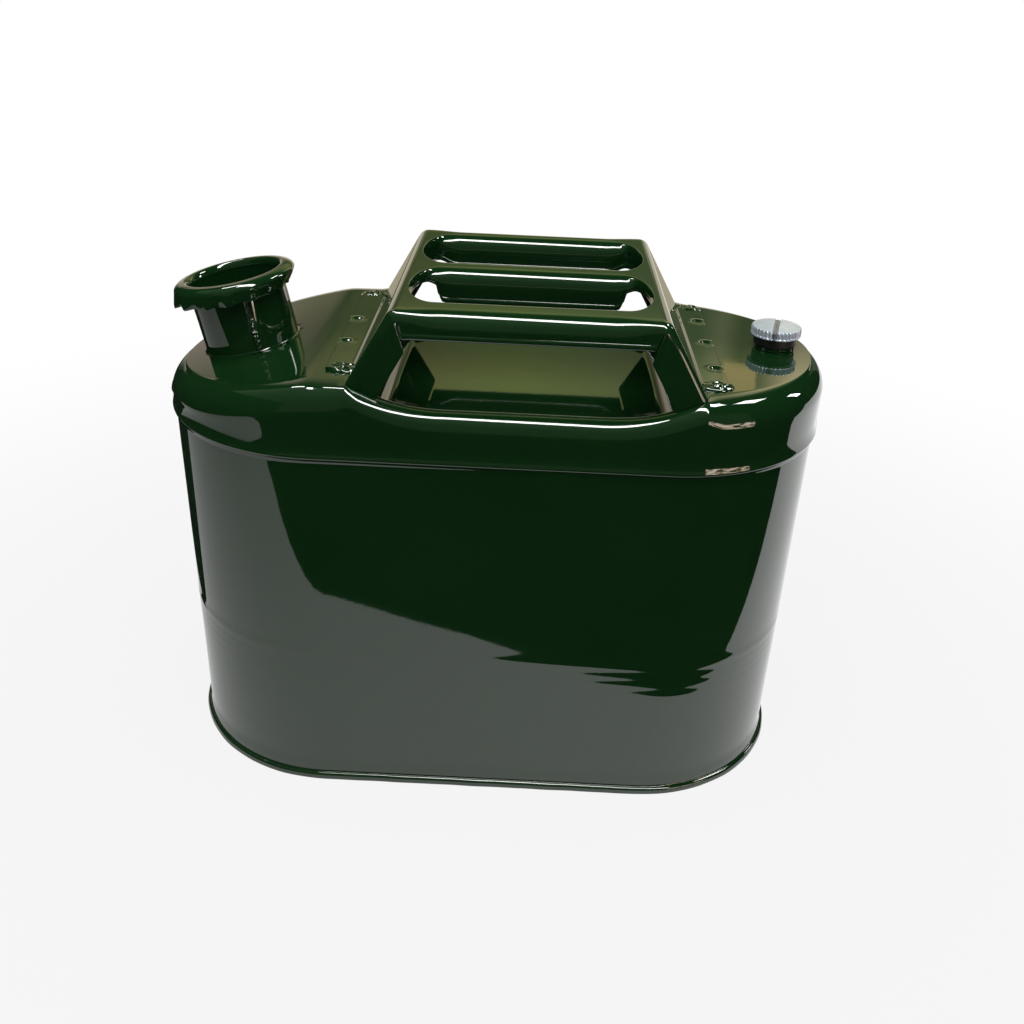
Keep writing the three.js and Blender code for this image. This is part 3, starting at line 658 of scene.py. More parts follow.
def round_edges(piece, width, angle):
    """Bevels the edges of a piece that turn by more than an angle in degrees."""
    rounding = piece.modifiers.new("edges", "BEVEL")
    rounding.width = width * MM
    rounding.segments = 2
    rounding.limit_method = "ANGLE"
    rounding.angle_limit = math.radians(angle)


def make(name, mesh, material, body, nodes, thickness=0, bevel=0):
    """A finished piece: thickened inward, its edges rounded, riding on a body in place of its nodes."""
    piece = bpy.data.objects.new(name, mesh)
    scene.collection.objects.link(piece)
    mesh.materials.append(material)
    if thickness:
        thicken = piece.modifiers.new("thickness", "SOLIDIFY")
        thicken.thickness = thickness * MM
        thicken.offset = -1
    if bevel:
        round_edges(piece, bevel, BEVEL_ANGLE)
    settle(piece)
    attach(piece, body)
    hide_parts(*nodes)
    print(f"{name}: {len(piece.data.polygons)} faces")
    return piece


# %% [markdown]
# ## The oval
#
# Wall, foot and skirt all follow one oval with half-round ends. It is stored as feet on the long axis and
# outward directions, so a ring at any offset is one line of arithmetic and rings always match.

# %% Oval rings
STRAIGHT_STEPS = 40
END_STEPS = 60


def oval_directions():
    """Feet on the long axis and outward directions, once round from the front left."""
    front = np.linspace(-END_X, END_X, STRAIGHT_STEPS, endpoint=False)
    turn = np.linspace(-math.pi / 2, math.pi / 2, END_STEPS, endpoint=False)
    feet = np.concatenate([front, np.full(END_STEPS, END_X), -front, np.full(END_STEPS, -END_X)])
    angle = np.concatenate([
        np.full(STRAIGHT_STEPS, -math.pi / 2), turn, np.full(STRAIGHT_STEPS, math.pi / 2), turn + math.pi,
    ])
    return feet, np.cos(angle), np.sin(angle)


OVAL_FEET, OVAL_X, OVAL_Y = oval_directions()


def oval(offset, z):
    """A ring round the can at an offset from the wall's face; offset and z may vary round the ring."""
    radius = END_RADIUS + offset
    ring = [OVAL_FEET + OVAL_X * radius, OVAL_Y * radius, np.broadcast_to(z, OVAL_FEET.shape)]
    return np.stack(ring, axis=-1)


girth = np.linspace(0, 2 * math.pi, len(OVAL_FEET), endpoint=False)
print(len(OVAL_FEET), "points round the oval")

# %% [markdown]
# ## The wall
#
# A rolled sheet keeps faint marks of the rollers: fine level ridges a tenth of a millimetre high, and slow
# waves that bend every reflection. A flat wall with a bump texture would not move the mirrored table edge,
# so the marks are real geometry. Near the foot the wall flares out to meet the roll of the bottom.

# %% Wall
ROLLER_MARKS = ((85.0, 0.21, 2.1), (79.0, 0.08, 1.8), (73.5, 0.07, 1.6), (67.5, 0.05, 1.8))
FOOT_FLARE = 0.7
FOOT_FLARE_TOP = 15.0
LIP_FLARE = 0.35
LIP_RISE = (2.7, 0.7)
LIP_FALL = (1.0, 5.0)
WAVES_START = (15, 50)
WAVES_END = (170, 196)


def wall_offset(z):
    """How far the wall's face stands out at a height, round the whole oval."""
    flare = FOOT_FLARE * (1 - smooth(z, wall_low[2], FOOT_FLARE_TOP)) ** 1.5
    rise = smooth(z, LIP - LIP_RISE[0], LIP - LIP_RISE[1])
    flare += LIP_FLARE * rise * (1 - smooth(z, LIP + LIP_FALL[0], LIP + LIP_FALL[1]))
    marks = sum(
        high * (0.8 + 0.35 * np.sin(3 * girth + place)) * np.exp(-((z - place) / wide) ** 2 / 2)
        for place, high, wide in ROLLER_MARKS
    )
    free = smooth(z, *WAVES_START) * (1 - smooth(z, *WAVES_END))
    waves = 0.07 * np.sin(5 * girth + z / 34) + 0.05 * np.sin(11 * girth - z / 21 + 1.3)
    return flare + marks + free * waves


def wall():
    sheet = Sheet()
    heights = np.concatenate([
        np.linspace(wall_low[2], 20, 14), np.linspace(23, 59, 9), np.linspace(61, 93, 46),
        np.linspace(97, 185, 16), np.linspace(LIP - 10, LIP - 4, 4), np.linspace(LIP - 3, LIP, 11),
        np.linspace(LIP + 1, wall_high[2], 5),
    ])
    outside = [oval(wall_offset(z), z) for z in heights]
    inside = [oval(-SHEET, z) for z in (wall_high[2], LIP, 150, 100, 50, wall_low[2])]
    sheet.grid(outside + inside + outside[:1], wrap=True)
    return sheet.mesh("wall_sheet", closed=True)


make("wall_sheet", wall(), green_enamel, "can", ["body_wall"])

# %% [markdown]
# ## The bottom and its rolled foot
#
# The bottom is a shallow pan. Its edge is rolled outward into a bead that carries the can, and the bead
# shows all round as one bright line. The profile is a row of offsets and heights, carried round the oval.

# %% Bottom pan
pan_high = box_mm("bottom_pan")[1]
BEAD_HEIGHT = wall_low[2] - GAP
BEAD_PROUD = pan_high[1] - END_RADIUS
BEAD_WAVE = 0.15
BEAD_CREST = 0.78 * BEAD_HEIGHT
BEAD_ROUND = 1.9
FOOT_FLAT = 6.0
PAN_RECESS = 4.0
BEAD_STEPS = 12


def bow(start, pull, end):
    """Points of a curve that leaves the start towards a pulling point and arrives at the end from it."""
    t = np.linspace(0, 1, BEAD_STEPS)[:, None]
    return (1 - t) ** 2 * np.array(start) + 2 * t * (1 - t) * np.array(pull) + t ** 2 * np.array(end)


def pan():
    sheet = Sheet()
    proud = BEAD_PROUD - BEAD_WAVE
    under = bow((proud - 0.9, 0.0), (proud, 0.0), (proud, 0.9))
    crest = proud - BEAD_ROUND
    over = bow((proud, 0.9), (proud, BEAD_CREST), (crest, BEAD_CREST))
    neck = bow((crest, BEAD_CREST), (GAP / 2 + 0.3, BEAD_CREST), (GAP / 2, BEAD_HEIGHT))
    bead = [tuple(p) for p in (*under[:-1], *over[:-1], *neck)]
    seat = -SHEET - GAP
    floor_offset = -FOOT_FLAT - PAN_RECESS
    profile = [
        (floor_offset - 6, PAN_RECESS), (floor_offset, PAN_RECESS), (floor_offset + 1, PAN_RECESS - 0.5),
        (-FOOT_FLAT - 1, 0.3), (-FOOT_FLAT, 0), *bead, (seat, BEAD_HEIGHT), (seat, pan_high[2]),
        (seat - SHEET, pan_high[2]), (seat - SHEET, PAN_RECESS + 2 * SHEET),
        (floor_offset, PAN_RECESS + SHEET), (floor_offset - 6, PAN_RECESS + SHEET),
    ]
    wobble = 0.08 * np.sin(23 * girth) + 0.06 * np.sin(41 * girth + 2)
    rings = [oval(offset + wobble * (offset > 1), z) for offset, z in profile]
    sheet.grid(rings, wrap=True)
    sheet.cap(rings[0][::-1])
    sheet.cap(rings[-1])
    return sheet.mesh("foot_pan", closed=True)


make("foot_pan", pan(), green_enamel, "can", ["bottom_pan"])

# %% [markdown]
# ## The top cover
#
# The cover is one deep pressing. Seen along the can, its height is a formula: a level plateau that falls
# away under the neck, a rim that dips along both long sides and a well between the handle's legs. Sections
# across the can at many places along it carry that formula from lip to lip, over the rounded shoulder.

# %% Heights of the cover
SHOULDER = 8.4
SHOULDER_RING = END_RADIUS + GAP + SHEET - SHOULDER
SKIRT_TOP = 1.0
SHOULDER_OUT = END_RADIUS + SKIRT_TOP - SHOULDER_RING
PAD_START = -88.92
PAD_SLOPE = math.radians(11.5)
PAD_SOFTNESS = 1.6
WELL_HALF = 84.28
WELL_DEPTH = 20.0
WELL_WALL_RUN = 19.0
RIM_DROP = 11.5
RIM_RUN = 46.0
RIM_CREST = 2.0
RIM_SLOPE_RUN = 11.0
RIM_START_ROUNDING = 0.05
RIM_EASING = 2.4
EASE_DROP = 1.2
EASE_RUN = 8.0


def level_height(x):
    """The plateau, falling away softly under the neck."""
    past = np.logaddexp(0, (PAD_START - np.asarray(x, float)) / PAD_SOFTNESS) * PAD_SOFTNESS
    return PLATEAU - past * math.tan(PAD_SLOPE)


def rim_height(x):
    """The crest of the long sides, which dips beside the well."""
    inside = np.clip((WELL_HALF - np.abs(x - HANDLE_X)) / RIM_RUN, 0, 1)
    rounded = inside ** 2 / (inside + RIM_START_ROUNDING)
    share = 1 - np.maximum(0, 1 - rounded) ** RIM_EASING
    return level_height(x) - RIM_DROP * share


def floor_height(x):
    """The floor of the well and its sloping ends."""
    inside = WELL_HALF - np.abs(x - HANDLE_X)
    return level_height(x) - WELL_DEPTH * smooth(inside, 0, WELL_WALL_RUN)


def soft_edge(x, inward):
    """How far the level ends sink towards their rounded edge, which starts well inside the shoulder."""
    ends = smooth(np.abs(x - HANDLE_X), WELL_HALF - 6, WELL_HALF + 8)
    return EASE_DROP * ends * (np.maximum(0, EASE_RUN - inward) / EASE_RUN) ** 2


def top_height(x, inward):
    """Height inside the shoulder, at a distance in from it."""
    share = smooth(inward, RIM_CREST, RIM_CREST + RIM_SLOPE_RUN)
    return rim_height(x) * (1 - share) + floor_height(x) * share - soft_edge(x, inward)


def cover_height(x, y):
    """Height of the cover's face over any point of the plan, out to the shoulder."""
    past = np.maximum(0, np.abs(x) - END_X)
    sine = np.sqrt(np.maximum(1e-6, 1 - (past / SHOULDER_RING) ** 2))
    inward = (SHOULDER_RING * sine - np.abs(y)) / sine
    outward = np.clip(-inward / SHOULDER_OUT, 0, 1)
    fall = SHOULDER * (1 - np.sqrt(1 - outward ** 2))
    outside = rim_height(x) - fall - soft_edge(x, inward)
    return np.where(inward >= 0, top_height(x, np.maximum(inward, 0)), outside)


print("well floor at", round(float(floor_height(HANDLE_X)), 1))
print("rim at", round(float(rim_height(HANDLE_X)), 1))

# %% [markdown]
# ### Pressing the cover
#
# Each section runs from the hem of the skirt over the shoulder to the middle of the can and down the other
# side. The sections stand closer where the shape turns fast. The two round holes are cut afterwards.

# %% Cover
COVER_SHEET = 0.6
SKIRT_LOW = 0.8
LIP_PROUD = 0.95
LIP_RUN = 8.0
HEM_ROUND = 1.1
NECK_HOLE = 24.7
VENT_HOLE = 8.3
NECK_X = -130.0
LEAST_STEP = 0.9
TIP_SHARE = 0.95
NECK_LOW = float(level_height(NECK_X))


def cover_stations():
    """Places along the can for sections: even steps round the ends, closer at the ends of the well."""
    turn = np.radians(np.concatenate([np.linspace(0, 12, 9), np.arange(14.5, 90, 2.5)]))
    ends = END_X + SHOULDER_RING * np.cos(turn)
    well = HANDLE_X + np.concatenate([
        np.linspace(-WELL_HALF - 4, -WELL_HALF + 24, 24), np.linspace(-56, 56, 38),
        np.linspace(WELL_HALF - 24, WELL_HALF + 4, 24),
    ])
    pad = PAD_START + np.linspace(-6, 6, 7)
    places = np.sort(np.concatenate([ends, -ends, well, pad]))
    tip = END_X + TIP_SHARE * SHOULDER_RING
    keep = [True] + [b - a > LEAST_STEP or abs(b) > tip for a, b in zip(places, places[1:])]
    return places[keep][::-1]


def skirt_outline(rim):
    """Radius and height of the skirt: a turned hem, the flared lip and the face up to the shoulder."""
    hem = LIP + HEM_ROUND
    edge = END_RADIUS + SKIRT_LOW + LIP_PROUD
    outline = [
        (edge - HEM_ROUND + HEM_ROUND * math.cos(a), hem + HEM_ROUND * math.sin(a))
        for a in np.radians(np.linspace(-95, -8, 7))
    ]
    for rise in np.linspace(0, 1, 10):
        outline.append((edge - LIP_PROUD + LIP_PROUD * (1 - rise) ** 2.5, hem + LIP_RUN * rise))
    low, high = hem + LIP_RUN, rim - SHOULDER
    for share in np.linspace(0.3, 1, 4):
        radius = END_RADIUS + SKIRT_LOW + (SKIRT_TOP - SKIRT_LOW) * share
        outline.append((radius, low + (high - low) * share))
    return outline


def cover_section(x):
    """Points across the can at one place, from the front lip over the top to the rear lip."""
    past = max(0.0, abs(x) - END_X)
    cosine = min(1.0, past / SHOULDER_RING)
    sine = math.sqrt(max(0.0, 1 - cosine ** 2))
    foot = x - math.copysign(cosine * SHOULDER_RING, x)
    rim = float(rim_height(x))
    side = skirt_outline(rim - float(soft_edge(x, -SHOULDER_OUT)))
    for a in np.linspace(0, math.pi / 2, 14)[1:]:
        out = SHOULDER_OUT * math.cos(a)
        height = rim - SHOULDER + SHOULDER * math.sin(a) - float(soft_edge(x, -out))
        side.append((SHOULDER_RING + out, height))
    rows = [(foot + math.copysign(cosine, x) * radius, sine * radius, z) for radius, z in side]
    reach = sine * SHOULDER_RING
    crest = RIM_CREST + RIM_SLOPE_RUN
    middle = crest + (SHOULDER_RING - crest) * np.linspace(0, 1, 24)[1:]
    inwards = np.concatenate([np.linspace(0.8, crest, 12), middle])
    rows += [(x, reach - inward * sine, float(top_height(x, inward))) for inward in inwards]
    front = [(px, -py, pz) for px, py, pz in rows]
    return front + rows[-2::-1]


def cut_round_hole(mesh, middle, tilt, radius):
    """Removes the faces inside a circle, and moves the cut's edge onto the circle."""
    to_local = (Matrix.Translation(middle) @ Matrix.Rotation(tilt, 4, "Y")).inverted()
    work = bmesh.new()
    work.from_mesh(mesh)
    local = {v: to_local @ v.co for v in work.verts}
    near = [v for v in work.verts if abs(local[v].z) < 8 * MM and local[v].xy.length < radius]
    rim = {v for v in work.verts if local[v].xy.length >= radius}
    edge = {e.other_vert(v) for v in near for e in v.link_edges} & rim
    bmesh.ops.delete(work, geom=near, context="VERTS")
    for v in edge:
        place = local[v].xy.normalized() * radius
        v.co = to_local.inverted() @ Vector((place.x, place.y, local[v].z))
    work.to_mesh(mesh)
    work.free()


def cover():
    sheet = Sheet()
    sheet.grid([cover_section(float(x)) for x in cover_stations()])
    mesh = sheet.mesh("cover_pressing", closed=False)
    cut_round_hole(mesh, Vector((NECK_X, 0, NECK_LOW)) * MM, -PAD_SLOPE, NECK_HOLE * MM)
    cut_round_hole(mesh, VENT, 0, VENT_HOLE * MM)
    return mesh


make("cover_pressing", cover(), green_enamel, "can", ["top_cover"], COVER_SHEET)

# %% [markdown]
# ## The carrying handle
#
# The handle is one strip bent into an arch and pressed: its front and rear edges are rolled over and
# turned down, two finger slots with deep turned-down edges leave three bars, and the legs end in feet.
# Everything is measured along the arch: a place on it is a distance from the middle of the top and an
# inset square to the sheet, so flat, bend and leg are one function.

# %% Path of the arch
TOP_HALF = 63.5
LEG_LEAN = math.radians(30)
TOP_BEND = 6.0
BEND_X = TOP_HALF - TOP_BEND * (1 / math.cos(LEG_LEAN) - math.tan(LEG_LEAN))
BEND_END = BEND_X + TOP_BEND * (math.pi / 2 - LEG_LEAN)
BAR_ROLL = 8.0
BEND_ROLL = 5.0
LEG_ROLL = 3.0
OUTER_FLANGE = 13.0
LEG_FLANGE = 15.6
NOTCH_FLANGE = 5.1
NOTCH_TOP_RUN = 2.4
NOTCH_LEG_RUN = 9.4
ROLL_FADE = (20, 1)
LEG_ROLL_RUN = 10
HANDLE_HALF = handle_high[1]


def on_arch(s, inset):
    """X from the handle's middle and Z of a place along the arch, for arrays of distance and inset."""
    far = np.abs(s)
    radius = TOP_BEND - inset
    angle = math.pi / 2 - np.clip((far - BEND_X) / TOP_BEND, 0, math.pi / 2 - LEG_LEAN)
    down = np.maximum(0, far - BEND_END)
    flat = np.minimum(far, BEND_X)
    x = flat + radius * np.cos(angle) + down * math.sin(LEG_LEAN)
    z = HANDLE_TOP - TOP_BEND + radius * np.sin(angle) - down * math.cos(LEG_LEAN)
    return np.sign(s) * x, z


def edge_roll(s):
    """Radius of the rolled edge: full on the bars, tighter at the bends and down the legs."""
    far = np.abs(s)
    bars = (BAR_ROLL - BEND_ROLL) * (1 - smooth(far, BEND_X - ROLL_FADE[0], BEND_X - ROLL_FADE[1]))
    legs = (BEND_ROLL - LEG_ROLL) * smooth(far, BEND_END, BEND_END + LEG_ROLL_RUN)
    return BEND_ROLL + bars - legs


def flange_depth(s):
    """Depth of the turned-down edge along the arch, cut back to a notch at the bends."""
    places = [BEND_X - NOTCH_TOP_RUN, BEND_X, BEND_END, BEND_END + NOTCH_LEG_RUN]
    return np.interp(np.abs(s), places, [OUTER_FLANGE, NOTCH_FLANGE, NOTCH_FLANGE, LEG_FLANGE])


def leg_length(side, inset, y):
    """Distance down a leg from the bend to just over the cover, for arrays of inset and depth."""
    short, long = np.full(np.shape(inset), 10.0), np.full(np.shape(inset), 60.0)
    for _ in range(40):
        middle = (short + long) / 2
        x, z = on_arch(BEND_END + middle, inset)
        above = z > cover_height(HANDLE_X + side * x, y) + GAP
        short, long = np.where(above, middle, short), np.where(above, long, middle)
    return short


print("leg length", np.round(leg_length(1, np.array([0.0, LEG_FLANGE]), np.array([70.0, HANDLE_HALF])), 1))

# %% [markdown]
# ## Rolled edges, legs and feet
#
# The rolled edge is a grid along the arch: its columns go round the roll and down the flange, and the
# flange's depth follows the notch at each bend. The legs are grids too. They end just over the cover, and
# the part between the slits turns outward into a foot with a row of spot welds pressed into it.

# %% Edges, legs and feet
FLAT_EDGE = 0.5
TOP_SUPPORT = 0.14
FLAT_HALF = HANDLE_HALF - BAR_ROLL - FLAT_EDGE
FLAT_END = BEND_X - TOP_SUPPORT
CLOSE_RUN = 8
LEG_SHARED = 32.0
HEM = 2.6
HEM_FULL = 1.5
HEM_GROOVE = 0.42
GROOVE_RUN = 6
LEG_GROOVE = 0.15
FOOT_HALF = 60.0
FOOT_BEND = 2.0
FOOT_WIDTH = 13.0
FOOT_TOP = PLATEAU + GAP + SHEET
FOOT_DROP = HANDLE_TOP - TOP_BEND * (1 - math.sin(LEG_LEAN)) - FOOT_TOP
FOOT_CORNER = BEND_X + TOP_BEND * math.cos(LEG_LEAN) + FOOT_DROP * math.tan(LEG_LEAN)
SPOT_WELDS = {-1: (13.0, -22.5), 1: (35.0, 0.0, -38.0)}
SPOT_DEPTH = 0.9
SPOT_FLOOR = 1.5
SPOT_RADIUS = 3.5
SPOT_RIM = 0.22
SPOT_INSET = 3.8

side_places = np.linspace(BEND_X - CLOSE_RUN, FLAT_END, 16)
mid_places = np.linspace(CLOSE_RUN - BEND_X, BEND_X - CLOSE_RUN, 61)[1:-1]
top_places = np.concatenate([-side_places[::-1], mid_places, side_places])
bend_places = np.linspace(BEND_X, BEND_END, 10)
leg_shares = np.linspace(0, LEG_SHARED, 26)[1:]
leg_rest = np.linspace(0, 1, 6)[1:]
ROLL_TURNS = np.linspace(0, math.pi / 2, 12)
FULL_FLANGE = np.array([0.5, 1, 1, 1, 1, 1, 1])
HEMS_UP = np.array([0.7, 1.35, 1.06, 0.98, 0.86, 0.4, 0.0])
IN_GROOVE = np.array([0.3, 1.0, 1.0, 0.45, 0.0, 0.1, 1.2])


def flange_fall(deep):
    """How far the columns of a flange hang below the roll, and how far its hem line is pressed in."""
    share = np.minimum(1, np.asarray(deep) / (HEM_FULL * HEM))
    return FULL_FLANGE * deep - HEMS_UP * HEM * share, HEM_GROOVE * IN_GROOVE * share


def edge_section(s):
    """Inset and depth of the columns across the edge, at a distance along the arch for each column."""
    turn = np.concatenate([[0.0], ROLL_TURNS])
    roll = edge_roll(s[:len(turn)])
    inset = roll * (1 - np.cos(turn))
    depth = HANDLE_HALF - roll + roll * np.sin(turn)
    depth[0] = FLAT_HALF
    down = s[len(turn):]
    fall, groove = flange_fall(np.maximum(flange_depth(down) - edge_roll(down), 0))
    groove *= 1 - (1 - LEG_GROOVE) * smooth(np.abs(down), BEND_X - GROOVE_RUN, BEND_X)
    return np.concatenate([inset, edge_roll(down) + fall]), np.concatenate([depth, HANDLE_HALF - groove])


def edge_grid(end):
    """The rolled edge at the front (-1) or the rear (1), from the left foot to the right foot."""
    columns = np.ones(1 + len(ROLL_TURNS) + len(HEMS_UP))

    def row(s, side):
        inset, depth = edge_section(s)
        x, z = on_arch(s, inset)
        return np.stack([HANDLE_X + side * x, end * depth, z], axis=-1)

    def half(side):
        full = leg_length(side, *edge_section((BEND_END + LEG_SHARED) * columns))
        shared = [row(s * columns, side) for s in (*bend_places, *(BEND_END + leg_shares))]
        last = [row(BEND_END + LEG_SHARED + f * (full - LEG_SHARED), side) for f in leg_rest]
        return shared + last

    top = [row(abs(s) * columns, math.copysign(1, s)) for s in top_places]
    rows = half(-1)[::-1] + top + half(1)
    return rows if end < 0 else rows[::-1]


def leg_rows(side, depths, places):
    """The leg's outer face at distances along the arch, from the rear to the front."""
    rows = []
    for s in places:
        x, z = on_arch(np.full(len(depths), s), np.zeros(len(depths)))
        rows.append(np.stack([HANDLE_X + side * x, depths, z], axis=-1))
    return rows


def foot_rows(side, depths):
    """The bend at the leg's foot and the foot itself, with its spot welds."""
    tangent = FOOT_BEND * math.tan((math.pi / 2 - LEG_LEAN) / 2)
    outline = [
        (FOOT_CORNER + tangent - FOOT_BEND * math.sin(a), FOOT_TOP + FOOT_BEND * (1 - math.cos(a)))
        for a in np.linspace(math.pi / 2 - LEG_LEAN, 0, 7)
    ]
    reach = FOOT_CORNER + FOOT_WIDTH
    outline += [(x, FOOT_TOP) for x in np.linspace(FOOT_CORNER + tangent, reach, 20)[1:]]
    rows = []
    for x, z in outline:
        height = np.full(len(depths), z)
        for y in SPOT_WELDS[side]:
            r = np.hypot(x - (reach - SPOT_INSET), depths - y)
            height -= SPOT_DEPTH * (1 - smooth(r, SPOT_FLOOR, SPOT_RADIUS))
            height += SPOT_RIM * np.exp(-((r - SPOT_RADIUS - 0.6) / 0.8) ** 2)
        rows.append(np.stack([np.full(len(depths), HANDLE_X + side * x), depths, height], axis=-1))
    return rows


def add_leg(sheet, side):
    """Web, side strips and foot of one leg."""
    shared = [*bend_places, *(BEND_END + leg_shares)]
    web = np.linspace(FOOT_HALF, -FOOT_HALF, 181)
    grids = [leg_rows(side, web, shared) + foot_rows(side, web)]
    for end in (1, -1):
        strip = np.sort(np.linspace(FOOT_HALF, FLAT_HALF, 6) * end)[::-1]
        full = leg_length(side, np.zeros(len(strip)), strip)
        low = [BEND_END + LEG_SHARED + f * (full - LEG_SHARED) for f in leg_rest]
        rows = leg_rows(side, strip, shared)
        for s in low:
            x, z = on_arch(s, np.zeros(len(strip)))
            rows.append(np.stack([HANDLE_X + side * x, strip, z], axis=-1))
        grids.append(rows)
    rear, front = np.linspace(FLAT_HALF, FOOT_HALF, 6), np.linspace(-FOOT_HALF, -FLAT_HALF, 6)
    border = np.concatenate([rear, web[1:-1], front])
    grids.append(leg_rows(side, border, [FLAT_END, BEND_X]))
    for rows in grids:
        sheet.grid(rows if side > 0 else rows[::-1])
    return border


handle_sheet = Sheet()
for end in (-1, 1):
    handle_sheet.grid(edge_grid(end))
borders = [add_leg(handle_sheet, side) for side in (-1, 1)]
print("handle so far:", len(handle_sheet.faces), "faces")

# %% [markdown]
# ## Finger slots and the flat of the bars
#
# Each slot is an oblong with rounded ends, a little further back than in the construction. Its edge rolls
# over and hangs down as a deep flange, which is shallower round the ends. What is left between the slots
# and the rolled edges is flat, so its outline and the two slot outlines are simply filled with triangles.

# %% Slots and plate
BAR_WIDTH = 21.5
SLOT_HALF_LENGTH = 58.5
SLOT_END_ROLL = 1.0
SLOT_CORNER = 8.0
SLOT_FLANGE = 17.0
SLOT_END_FLANGE = 6.0
SLOT_END_DROP = 4.0
SLOT_SHIFT = 2.4
HANDLE_BEVEL = 0.5
DEEP_RUN = {-1: (45.5, 48.5), 1: (57.0, 62.0)}
ROLL_RUN = (42.0, 54.0)
SLOT_HALF_WIDTH = (HANDLE_HALF - 1.5 * BAR_WIDTH) / 2
SLOT_Y = BAR_WIDTH / 2 + SLOT_HALF_WIDTH
SLOT_ROUND_STEPS = 44
SLOT_STRAIGHT_STEPS = 100


def slot_ring(end, length, half, corner):
    """A level oblong round a slot's middle: half length, half width and length of its rounded ends."""
    turn = np.linspace(-math.pi / 2, math.pi / 2, SLOT_ROUND_STEPS)
    straight = np.linspace(length - corner, corner - length, SLOT_STRAIGHT_STEPS)[1:-1]
    right = length - corner + corner * np.cos(turn)
    x = np.concatenate([right, straight, -right, -straight])
    level = np.ones(len(straight))
    y = half * np.concatenate([np.sin(turn), level, -np.sin(turn), -level])
    return np.stack([HANDLE_X + x, end * SLOT_Y + SLOT_SHIFT + y, np.full(len(x), HANDLE_TOP)], axis=-1)


def at_ends(ring, run, middle_value, end_value):
    """A value for each point of a ring: one along the bars, another past a run near the slot's ends."""
    share = smooth(np.abs(ring[:, 0] - HANDLE_X), *run)
    return middle_value + (end_value - middle_value) * share


def slot_grid(end):
    """A slot's flat border, rolled edge and hanging flange."""
    border = SLOT_HALF_WIDTH + BAR_ROLL + FLAT_EDGE
    rows = [slot_ring(end, SLOT_HALF_LENGTH + 1.2 * SLOT_END_ROLL, border, 2 * SLOT_CORNER)]
    for a in np.linspace(0, math.pi / 2, 12):
        grow = 1 - math.sin(a)
        length, half = SLOT_HALF_LENGTH + SLOT_END_ROLL * grow, SLOT_HALF_WIDTH + BAR_ROLL * grow
        ring = slot_ring(end, length, half, SLOT_CORNER * (1 + grow))
        ring[:, 2] -= at_ends(ring, ROLL_RUN, BAR_ROLL, SLOT_END_DROP) * (1 - math.cos(a))
        rows.append(ring)
    foot = rows[-1]
    deep = at_ends(foot, DEEP_RUN[end], SLOT_FLANGE - BAR_ROLL, SLOT_END_FLANGE - SLOT_END_DROP)
    falls, grooves = flange_fall(deep[:, None])
    for fall, groove in zip(falls.T, grooves.T):
        ring = slot_ring(end, SLOT_HALF_LENGTH, SLOT_HALF_WIDTH, SLOT_CORNER)
        ring[:, 1] += groove * np.sign(ring[:, 1] - end * SLOT_Y - SLOT_SHIFT)
        ring[:, 2] = foot[:, 2] - fall
        rows.append(ring)
    return rows


def fill_plate(mesh, outlines):
    """Fills the flat between closed outlines with triangles that face up."""
    work = bmesh.new()
    for outline in outlines:
        corners = [work.verts.new(np.asarray(p) * MM) for p in outline]
        for a, b in zip(corners, corners[1:] + corners[:1]):
            work.edges.new((a, b))
    bmesh.ops.triangle_fill(work, use_beauty=True, use_dissolve=False, edges=work.edges)
    bmesh.ops.recalc_face_normals(work, faces=work.faces)
    if sum(f.normal.z for f in work.faces) < 0:
        bmesh.ops.reverse_faces(work, faces=work.faces)
    work.from_mesh(mesh)
    bmesh.ops.remove_doubles(work, verts=work.verts, dist=JOIN * MM)
    work.to_mesh(mesh)
    work.free()


slot_grids = [slot_grid(end) for end in (-1, 1)]
for rows in slot_grids:
    handle_sheet.grid(rows, wrap=True)
front_line = [(HANDLE_X + x, -FLAT_HALF, HANDLE_TOP) for x in top_places]
rear_line = [(HANDLE_X + x, FLAT_HALF, HANDLE_TOP) for x in top_places[::-1]]
right_line = [(HANDLE_X + FLAT_END, y, HANDLE_TOP) for y in borders[1][::-1][1:-1]]
left_line = [(HANDLE_X - FLAT_END, y, HANDLE_TOP) for y in borders[0][1:-1]]
outer_line = front_line + right_line + rear_line + left_line
handle_mesh = handle_sheet.mesh("handle_pressing", closed=False)
fill_plate(handle_mesh, [outer_line, *(rows[0] for rows in slot_grids)])
make(
    "handle_pressing", handle_mesh, green_enamel, "can", ["carry_handle"],
    SHEET, HANDLE_BEVEL,
)

# %% [markdown]
# ## Lumps of weld on the feet
#
# The ends of the feet are tacked by hand before painting, and the enamel runs over the lumps. Each lump is
# a low dome whose height is broken up by noise, with a small crater where the arc was pulled away.

# %% Handle welds
TACK_HALF = (8.0, 6.2)
TACK_HEIGHT = 2.9
TACK_SHIFT = {(-1, -1): (2.0, 2.6), (1, -1): (0.0, 1.0)}
TACK_RINGS = 20
TACK_STEPS = 56
CRATER_X = 3.0
CRATER_RADIUS = 2.0
CRATER_DEPTH = 0.75
RAGGED = 0.22


def lump_noise(x, y, z, size, seed):
    """Smooth noise from -1 to 1 with lumps of a given size in millimetres."""
    return noise.noise(Vector((x / size + seed * 7.3, y / size - seed * 3.1, z / size + seed)))


